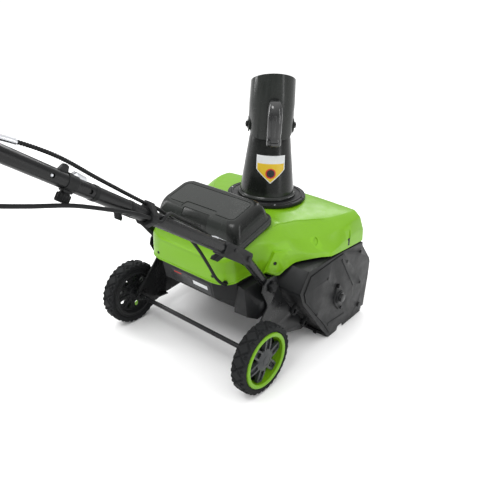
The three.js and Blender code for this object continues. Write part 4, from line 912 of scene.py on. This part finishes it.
def make_collar():
    profile = [(78, -10), (112, -10), (114, -8.4), (114, -1.2), (112.8, 0), (110.8, 0),
               (110.2, -0.7), (105, -0.7), (104.4, 0), (103.4, 2), (102.4, 2.5), (99.6, 2.5),
               (98.8, 2), (98, 0), (78, 0)]
    made = solid("chute_collar_shell", COLLAR, [lathe(profile, sides=120)])
    notches = []
    for step in range(12):
        angle = math.radians(15 + 30 * step)
        c, s = math.cos(angle), math.sin(angle)
        notches.append(hull([(r * c - w * s, r * s + w * c, z) for r in (111.2, 119)
                             for w in (-3.0, 3.0) for z in (-2.6, 4)]))
    carve(made, COLLAR, notches)
    soften(made, 0.5, 2, angle=34)
    dress(made, "machine", BLACK, ["chute_collar"], sharp=36)
    for number, degrees in enumerate((20, 80, 140, 200, 260, 320)):
        a = math.radians(degrees)
        screw(f"collar_screw_{number}", "machine", COLLAR,
              (107.6 * math.cos(a), 107.6 * math.sin(a), -0.7), (0, 0, 1), 2.9, 1.8,
              STEEL if number % 2 else BLACK)


make_collar()
CHUTE_OUT = [(77.5, 1), (78.2, 6), (78.5, 12), (76.9, 24.3), (59.1, 161.4), (58.6, 164.6),
             (57.8, 168.6), (57.2, 171.6), (57, 174.4), (57, 216.1), (56.5, 217.5)]
CHUTE_IN = [(54.4, 217.5), (54.4, 174), (55.2, 169), (56.2, 163), (75.6, 14), (75.2, 1)]
made_chute = solid("chute_shell", CHUTE, [lathe(CHUTE_OUT + CHUTE_IN, sides=96)])
fuse(made_chute, CHUTE, [lathe([(77.3, 1), (83.4, 1), (84, 1.6), (84, 3.8), (83.2, 5), (81.6, 5.5),
                                (80.2, 6.8), (78.2, 10), (77.3, 10)], sides=96)])
carve(made_chute, CHUTE, [
    prism((-90, 90), [(20, 141.5), (120, 111.5), (20, 231.5), (120, 231.5)]),
    drum(4.3, -90, 90, centre=(0, 0, PIVOT_Z))])
soften(made_chute, 0.6, 2, angle=34)
dress(made_chute, "chute_body", SATIN, ["chute"], sharp=40)


def on_cone(degrees, z, out):
    """A point of the chute's wall; degrees go round from straight behind, to the chute's right."""
    a = math.radians(-90 + degrees)
    r = cone_radius(z) + out
    return (r * math.cos(a), r * math.sin(a), z)


def wrapped_plate(outline, out, back=-1.5, grid=3.0):
    """A flat outline of (arc millimetres, height), wrapped round the cone as a thin plate."""
    fine = []
    for (u0, v0), (u1, v1) in zip(outline, outline[1:] + outline[:1]):
        parts = max(1, int(math.hypot(u1 - u0, v1 - v0) / grid))
        fine += [(u0 + (u1 - u0) * k / parts, v0 + (v1 - v0) * k / parts) for k in range(parts)]
    low, high = min(v for _, v in fine), max(v for _, v in fine)
    rows_n, columns = 14, 14
    rows = []
    for k in range(rows_n + 1):
        v = low + (high - low) * (0.001 + 0.998 * k / rows_n)
        crossings = sorted(a[0] + (b[0] - a[0]) * (v - a[1]) / (b[1] - a[1])
                           for a, b in zip(fine, fine[1:] + fine[:1]) if (a[1] - v) * (b[1] - v) < 0)
        u0, u1 = crossings[0], crossings[-1]
        across = [u0 + (u1 - u0) * i / columns for i in range(columns + 1)]
        front = [on_cone(math.degrees(u / cone_radius(v)), v, out) for u in across]
        behind = [on_cone(math.degrees(u / cone_radius(v)), v, back) for u in reversed(across)]
        rows.append(front + behind)
    return rings(rows)


PLATE_MID = 88.5
PENTAGON = [(-42, 38.5), (42, 38.5), (42, -1.5), (0, -38.5), (-42, -1.5)]


def label(name, grow, top, out, material):
    """A plain field on the chute, shaped like the pentagon or like its part below top."""
    shape = [(u * grow, PLATE_MID + min(v, top) * grow) for u, v in PENTAGON]
    piece(name, "chute_body", CHUTE, [wrapped_plate(shape, out)], material, width=0.15, sharp=50)


label("chute_plate", 1.0, 38.5, 0.35, WHITE)
label("chute_plate_field", 0.92, 17.5, 0.6, YELLOW)


def round_mark(name, middle, radius, out, material):
    """A plain round field on the plate; its points are turned a little off the rows."""
    turns = [2 * math.pi * (k + 0.37) / 32 for k in range(32)]
    shape = [(radius * math.sin(turn), middle + radius * math.cos(turn)) for turn in turns]
    piece(name, "chute_body", CHUTE, [wrapped_plate(shape, out)], material, width=0.1, sharp=50)


round_mark("chute_plate_ring", 78, 14.5, 0.75, RED)
round_mark("chute_plate_dot", 78, 11, 0.9, DARK_LABEL)


def corner_cutter(side):
    """What is cut away beyond a rounded lower corner, seen from behind."""
    line = [(34, 130), (34, 170)]
    line += [(34 + 28 * math.sin(a), 198 - 28 * math.cos(a)) for a in
             (math.radians(7.5 * k) for k in range(1, 12))]
    line += [(90, 197), (90, 130)]
    return slab([(side * x, z) for x, z in line], -90, 6, "y")


def make_deflector():
    wall = [(60, 170), (62.6, 170), (63, 172), (63, 262), (59.5, 356), (56.5, 356), (60, 262)]
    made = solid("deflector_shell", CHUTE, [lathe(wall, sides=96)])
    skirt = prism((-90, 90), [(-10, 140), (-10, 170), (-5, 177.5), (2, 187.5), (14, 203.5),
                              (90, 203.5), (90, 140)])
    slant = prism((-90, 90), [(-75, 354.5), (90, 278.5), (-75, 420), (90, 420)])
    carve(made, CHUTE, [block(-90, 90, 26, 90, 140, 380), slant, skirt] +
          [corner_cutter(side) for side in (-1, 1)])
    for side in (-1, 1):
        fuse(made, CHUTE, [drum(21.6, side * 60.4, side * 63.8, centre=(0, 0, PIVOT_Z), chamfer=0.8,
                                sides=56)])
    carve(made, CHUTE, [drum(4.3, -90, 90, centre=(0, 0, PIVOT_Z))])
    soften(made, 0.7, 2, angle=34)
    dress(made, "deflector_body", SATIN, ["deflector"], sharp=40)


make_deflector()


def squared(value, power):
    """A cosine or sine pushed outward, which makes a circle squarer."""
    return math.copysign(abs(value) ** power, value)


def grip_row(z, front, back, half, crown):
    """A level section of the grip: a rounded outline, flat to the deflector and crowned outside."""
    out = []
    for k in range(24):
        a = 2 * math.pi * k / 24
        c, s = math.cos(a), math.sin(a)
        x = half * squared(c, 0.66)
        y = (front + back) / 2 + (front - back) / 2 * squared(s, 0.7)
        if s < 0:
            y -= crown * (1 - (x / half) ** 2) * abs(s)
        out.append((x, y, z))
    return out


# Level sections of the grip: height, how far its inner face stands from the shell, its outer face,
# half width and crown. It meets the shell just above its lower edge and again at its top.
GRIP_ROWS = [
    (163.5, -11, 39, 19.2, 1.2), (165, -11, 40, 20, 1.2), (178, -11, 40, 20, 1.2),
    (181, 6, 40, 20, 1.2), (194, 6, 39.8, 20, 1.2), (198, -11, 39.7, 20, 1.2),
    (220, -11, 39.4, 20, 1.2), (246, -11, 38.6, 19.9, 1.2), (252, 6, 37.8, 19.7, 1.2),
    (262, 6, 35.5, 19, 1.0), (269, 6, 32, 18, 0.7), (275, 6, 27.6, 16.2, 0.5),
    (279.4, 6, 22, 13.6, 0.4), (282, 6, 15, 10, 0.2), (282.8, 6, 10, 7, 0.1)]


def make_grip():
    rows = [grip_row(z, BACK + front, BACK - back, half, crown)
            for z, front, back, half, crown in GRIP_ROWS]
    made = solid("deflector_grip_shell", CHUTE, [rings(rows)])
    carve(made, CHUTE, [lathe([(0, 140), (63.6, 140), (63.6, 320), (0, 320)], sides=96),
                        block(-9, 9, BACK - 36, BACK - 8, 155, 206),
                        block(-30, 30, BACK - 60, BACK - 37.6, 173, 174.4)])
    soften(made, 1.4, 3, angle=36)
    dress(made, "deflector_body", GLOSS, ["deflector_grip"], sharp=46)
    piece("grip_spine", "deflector_body", CHUTE, [hull(
        [(x, BACK - 40.4, z) for x, z in ((-2.6, 186), (2.6, 186), (-2.6, 246), (2.6, 246))]
        + [(x, BACK - 41.7, z) for x, z in ((-1.4, 189), (1.4, 189), (-1.4, 243), (1.4, 243))])],
        GLOSS, width=0.6)
    lip = [(-9.5, -37.4), (9.5, -37.4), (12, -34), (10.6, -34), (8.6, -36.4), (-8.6, -36.4),
           (-10.6, -34), (-12, -34)]
    piece("grip_lip", "deflector_body", CHUTE,
          [slab([(x, BACK + y) for x, y in lip], 162.6, 164.4, "z")], BRASS, width=0.3)
    trigger = [(-32, 156), (-33, 172), (-32, 200), (-18, 200), (-12, 166), (-13, 157)]
    piece("grip_trigger_shell", "trigger", CHUTE,
          [prism((-8, 8), [(BACK + y, z) for y, z in trigger])], RUBBER, ["grip_trigger"],
          width=1.6, segments=3)


make_grip()
for name in SIDES:
    sided = CHUTE @ SIDES[name]
    bolt = [lathe([(0, 52), (4, 52), (4, 64.4), (12.4, 64.4), (13, 64.9), (13, 65.4), (12.4, 65.8),
                   (0, 65.8)], "x", (0, 0, PIVOT_Z), 40),
            drum(8.8, 65.6, 70.6, centre=(0, 0, PIVOT_Z), sides=6, chamfer=0.9),
            drum(3.6, 65, 71.6, centre=(0, 0, PIVOT_Z), sides=24, chamfer=0.8)]
    piece(f"deflector_bolt_{name}_set", "deflector_body", sided, bolt, BLACK,
          [f"deflector_bolt_{name}"], width=0.3)


# ---------------------------------------------------------------- handle
FOLD = (-3, 369)
PIVOT = (86, 252)
RUN = 985
GRIP_BEND = 780
SADDLE_Y = 542
BAIL_PIVOT = (862, -4)


def bend_back(y):
    """How far the grip end of the handle bends back at a distance along it."""
    return 13 * ((y - GRIP_BEND) / 100) ** 1.5 if y > GRIP_BEND else 0


def handle_line():
    corner = 70
    half = [(TUBE_X, 34 + 12 * k) for k in range(62)]
    half += [(TUBE_X, y) for y in range(GRIP_BEND, RUN - corner, 8)]
    half += [(TUBE_X - corner + corner * math.cos(a), RUN - corner + corner * math.sin(a))
             for a in (math.radians(6 * k) for k in range(16))]
    half += [(x, RUN) for x in range(110, 0, -15)]
    return [(x, y, bend_back(y)) for x, y in half + [(-x, y) for x, y in reversed(half)]]


def make_upper_handle():
    """The long tube, with the slots for its spring buttons."""
    made = solid("upper_handle_tube", HANDLE, [tube(handle_line(), UPPER_R, 32)])
    for side in (-1, 1):
        wall = HANDLE @ placed(Matrix.Identity(4), (side * (TUBE_X + UPPER_R), 0, 0), "Y", 90)
        for y0, y1, half in ((581, 591, 4.2), (500, 523, 4.4)):
            carve(made, wall, [rings([rounded(half, y0, y1, half * 0.9, level, 6)
                                      for level in (-3.2, 3.2)])])
    dress(made, "handle", PAINT, ["upper_handle"], sharp=40)


def make_clamp(name, sided):
    """The clamp strap half way up, the ear its bolt passes through, and the knob on that bolt."""
    strap = [tube([(TUBE_X, 531 + 2.2 * k, 0) for k in range(11)], UPPER_R + 1.6, 32),
             prism((TUBE_X - 8, TUBE_X + 8), [(531, 12), (553, 12), (534, 17), (550, 17)]),
             prism((TUBE_X - 5, TUBE_X + 5), [(553, -12), (572, -12), (557, -24), (566, -24),
                                              (562, -26)])]
    piece(f"saddle_strap_{name}", "handle", sided, strap, BLACK, width=0.8)
    ear = prism((TUBE_X - 5.4, TUBE_X + 5.4), [(512, -12.5), (546, -12.5), (517, -19), (538, -21)])
    piece(f"saddle_ear_{name}", "handle", sided, [ear], STEEL, width=0.8)
    knob, sides = [], 64
    for z, share in ((19.4, 0.86), (20.4, 0.97), (22, 1.0), (32, 1.0), (33.8, 0.95), (35, 0.84)):
        reach = [(12.5 if k // 2 % 2 else 11.2) * share for k in range(sides)]
        knob.append([(TUBE_X + reach[k] * math.cos(2 * math.pi * k / sides),
                      SADDLE_Y + reach[k] * math.sin(2 * math.pi * k / sides), z)
                     for k in range(sides)])
    foot = lathe([(0, 14.5), (5, 14.5), (8.4, 17), (10.3, 20.4), (0, 20.4)],
                 centre=(TUBE_X, SADDLE_Y, 0))
    piece(f"saddle_knob_{name}_shell", f"saddle_knob_{name[0]}", sided, [rings(knob), foot],
          RUBBER, [f"saddle_knob_{name}"], width=0.4)


def make_lower_tube(name, matrix):
    """The lower tube, from the pivot bolt to the fold, and the knob on its pivot."""
    length = math.hypot(FOLD[0] - PIVOT[0], FOLD[1] - PIVOT[1])
    uy, uz = (FOLD[0] - PIVOT[0]) / length, (FOLD[1] - PIVOT[1]) / length
    stops = [-16, -15.4] + list(range(-12, int(length) + 10, 6)) + [length + 12.4, length + 13]
    run = [(TUBE_X, PIVOT[0] + uy * t, PIVOT[1] + uz * t) for t in stops]
    ends = (0, len(run) - 1)
    piece(f"lower_tube_{name}_shell", "lower_handle", matrix,
          [tube(run, LOWER_R, 32, lambda step: LOWER_R - (0.9 if step in ends else 0))],
          PAINT, [f"lower_tube_{name}"])
    sides = 60
    turns = [2 * math.pi * k / sides for k in range(sides)]
    knob = [[(x, PIVOT[0] + share * (13.4 + 2.6 * math.cos(5 * a)) * math.cos(a),
              PIVOT[1] + share * (13.4 + 2.6 * math.cos(5 * a)) * math.sin(a)) for a in turns]
            for x, share in ((212.6, 0.8), (213.6, 0.95), (215, 1.0), (221, 1.0), (223.6, 0.94),
                             (225.2, 0.8), (225.6, 0.5))]
    piece(f"pivot_knob_{name}_shell", f"pivot_knob_{name[0]}", matrix,
          [rings(knob), drum(4, 178.5, 218, centre=(0,) + PIVOT, sides=24, chamfer=0.5),
           drum(7, 176.5, 181.5, centre=(0,) + PIVOT, sides=6, chamfer=0.6)],
          RUBBER, [f"pivot_knob_{name}"], width=0.5)


def make_foam_grip(name, sided):
    """A ribbed foam sleeve on the handle's cross bar."""
    ribbed = [(14.4, 56), (16.4, 56), (17.2, 57)]
    for k in range(34):
        radius = 17.6 if k % 2 else 16.9
        ribbed += [(radius, 57 + k * 1.9), (radius, 57 + k * 1.9 + 1.9)]
    ribbed += [(17.2, 121.6), (16.4, 122), (14.4, 122)]
    piece(f"grip_{name}_shell", "handle", sided,
          [lathe(ribbed, "x", (0, RUN, bend_back(RUN)), 40)], RUBBER, [f"grip_{name}"])


make_upper_handle()
for name in SIDES:
    sided = HANDLE @ SIDES[name]
    button = drum(3.1, TUBE_X + UPPER_R - 5, TUBE_X + UPPER_R - 0.8, centre=(0, 586, 0),
                  chamfer=1.2, sides=24)
    piece(f"spring_button_{name}", "handle", sided, [button], STEEL)
    mount = [tube([(TUBE_X, 853 + k, bend_back(853 + k)) for k in range(0, 19, 3)],
                  UPPER_R + 3.4, 32)]
    mount += [drum(radius, start, TUBE_X - 8, centre=(0,) + BAIL_PIVOT, chamfer=0.6)
              for radius, start in ((7, 176.2), (3, 164))]
    piece(f"bail_mount_{name}", "handle", sided, mount, BLACK, width=0.6)
    make_clamp(name, sided)
    make_lower_tube(name, MACHINE @ SIDES[name])
    refine(f"fold_block_{name}", BLACK, 1.2)
    refine(f"cam_lever_{name}", STEEL, 0.8)
    make_foam_grip(name, sided)

refine("switch_box", BLACK, 2.0, segments=3)
refine("start_button", GREEN, 0.6)
refine("cable_clip", RUBBER, 1.2)
BAIL = [(171, 862, -4), (171, 880, -7.6), (171, 922, -16), (170.4, 945, -22), (169, 961, -27),
        (166, 971, -29), (161, 979, -30), (154, 985.5, -30), (145, 989, -30)]
bail_line = curve_through(BAIL + [(-x, y, z) for x, y, z in reversed(BAIL)], 6)
bail_eyes = [lathe([(3.3, x - 4.5), (7, x - 4.5), (7, x + 4.5), (3.3, x + 4.5)], "x",
                   (0,) + BAIL_PIVOT, 40) for x in (-171, 171)]
piece("bail_wire", "bail_body", HANDLE, [tube(bail_line, 4, 20)] + bail_eyes, STEEL, ["bail"],
      width=0.4)

# Clips that hold the cables along the near tube.
for number, y in enumerate((400, 489)):
    band = [tube([(TUBE_X, y + 1.6 * k - 5, 0) for k in range(7)], UPPER_R + 0.8, 32)]
    piece(f"cable_band_{number}", "handle", HANDLE, band, RUBBER, width=0.4)

# A metal sleeve round the ribbed conduit.
sleeve_line = [p for p in curve_through(CONDUITS["conduit_a"], 3) if 650 < p.y < 700]
piece("conduit_sleeve", "handle", HANDLE, [tube(sleeve_line, 5.1, 28)], STEEL, width=0.4)


# ---------------------------------------------------------------- head, brackets and underside
for node, material, width, segments in (
        ("auger_housing", BLACK, 0.7, 2), ("side_plate_right", BLACK, 1.0, 3),
        ("side_plate_left", BLACK, 1.0, 2), ("belt_cover", BLACK, 3.0, 3),
        ("bearing_flange", BLACK, 1.0, 2), ("scraper_bar", RUBBER, 0.6, 2),
        ("belly", BLACK, 3.5, 4), ("battery_bay", BLACK, 0.8, 2), ("battery_pack", BLACK, 1.6, 3),
        ("bracket_right", PAINT, 1.0, 2), ("bracket_left", PAINT, 1.0, 2), ("axle", PAINT, 0.4, 2),
        ("discharge_neck", BLACK, 0.4, 2), ("motor", STEEL, 0.8, 2),
        ("motor_pulley", STEEL, 0.3, 2), ("auger_pulley", GREY, 0.5, 2),
        ("drive_belt", RUBBER, 0.4, 2), ("auger", PAINT, 0.6, 2), ("rear_grommet", RUBBER, 0.8, 2),
        ("side_gland", RUBBER, 0.8, 2)):
    refine(node, material, width, segments=segments)

# A blank plate on the rear of the belly, where the machine carries its markings.
piece("belly_plate", "machine", MACHINE,
      [prism((-62, 84), [(-6.6, 250.2), (1.6, 211.8), (-2, 251), (5.6, 212.6)])], DARK_LABEL,
      width=0.6)


def belly_rear(z):
    """Where the rear of the belly stands at a height."""
    return -8 + 12 * (262 - z) / 57


# Two plain fields on the plate.
for number, (x0, x1, top, tall) in enumerate(((-50, -22, 243, 3.4), (20, 72, 238, 12))):
    field = [(belly_rear(z) - out, z) for z in (top, top - tall) for out in (1.3, -1)]
    piece(f"belly_plate_field_{number}", "machine", MACHINE, [prism((x0, x1), field)],
          WHITE if number else RED, width=0.2)

# ---------------------------------------------------------------- floor, light and finish
floor_mesh = bpy.data.meshes.new("floor")
floor_mesh.from_pydata([(-40, -40, 0), (40, -40, 0), (40, 40, 0), (-40, 40, 0)], [], [(0, 1, 2, 3)])
floor = bpy.data.objects.new("floor", floor_mesh)
floor.location.z = CAD_BOX[0][2] - 0.0005
bpy.context.scene.collection.objects.link(floor)
floor_mesh.materials.append(surface("floor_paint", (0.88, 0.88, 0.88), 0.75, bump=0.02, edge_highlight=0.0,
                                    spread=0.005))

world = bpy.data.worlds.new("studio")
bpy.context.scene.world = world
world.use_nodes = True
world.node_tree.nodes["Background"].inputs["Color"].default_value = (1, 1, 1, 1)
# The sky is bright overhead and dimmer towards the horizon.
sky, sky_links = world.node_tree.nodes, world.node_tree.links
heading = sky.new("ShaderNodeTexCoord")
height = sky.new("ShaderNodeSeparateXYZ")
ramp = sky.new("ShaderNodeMapRange")
set_range(ramp, 0.0, 1.0, 0.26, 1.80)
sky_links.new(heading.outputs["Generated"], height.inputs["Vector"])
sky_links.new(height.outputs["Z"], ramp.inputs["Value"])
sky_links.new(ramp.outputs["Result"], sky["Background"].inputs["Strength"])
bpy.context.scene.view_settings.view_transform = "Standard"


def lamp(name, where, target, size, power):
    """A rectangular lamp at a point, aimed at a target."""
    data = bpy.data.lights.new(name, "AREA")
    data.shape = "RECTANGLE"
    data.size, data.size_y = size
    data.energy = power
    light = bpy.data.objects.new(name, data)
    light.location = where
    light.rotation_euler = (Vector(target) - Vector(where)).to_track_quat("-Z", "Y").to_euler()
    bpy.context.scene.collection.objects.link(light)


CENTRE = (0, -0.1, 0.3)
lamp("key", (0.2, -1.6, 2.4), CENTRE, (1.2, 0.7), 22)
lamp("side", (2.4, 0.2, 1.0), CENTRE, (0.4, 1.6), 11)
lamp("back", (-0.8, 2.0, 1.9), CENTRE, (1.6, 0.5), 20)
lamp("left", (-2.2, -0.9, 1.3), CENTRE, (0.4, 1.6), 20)

bpy.context.view_layer.update()
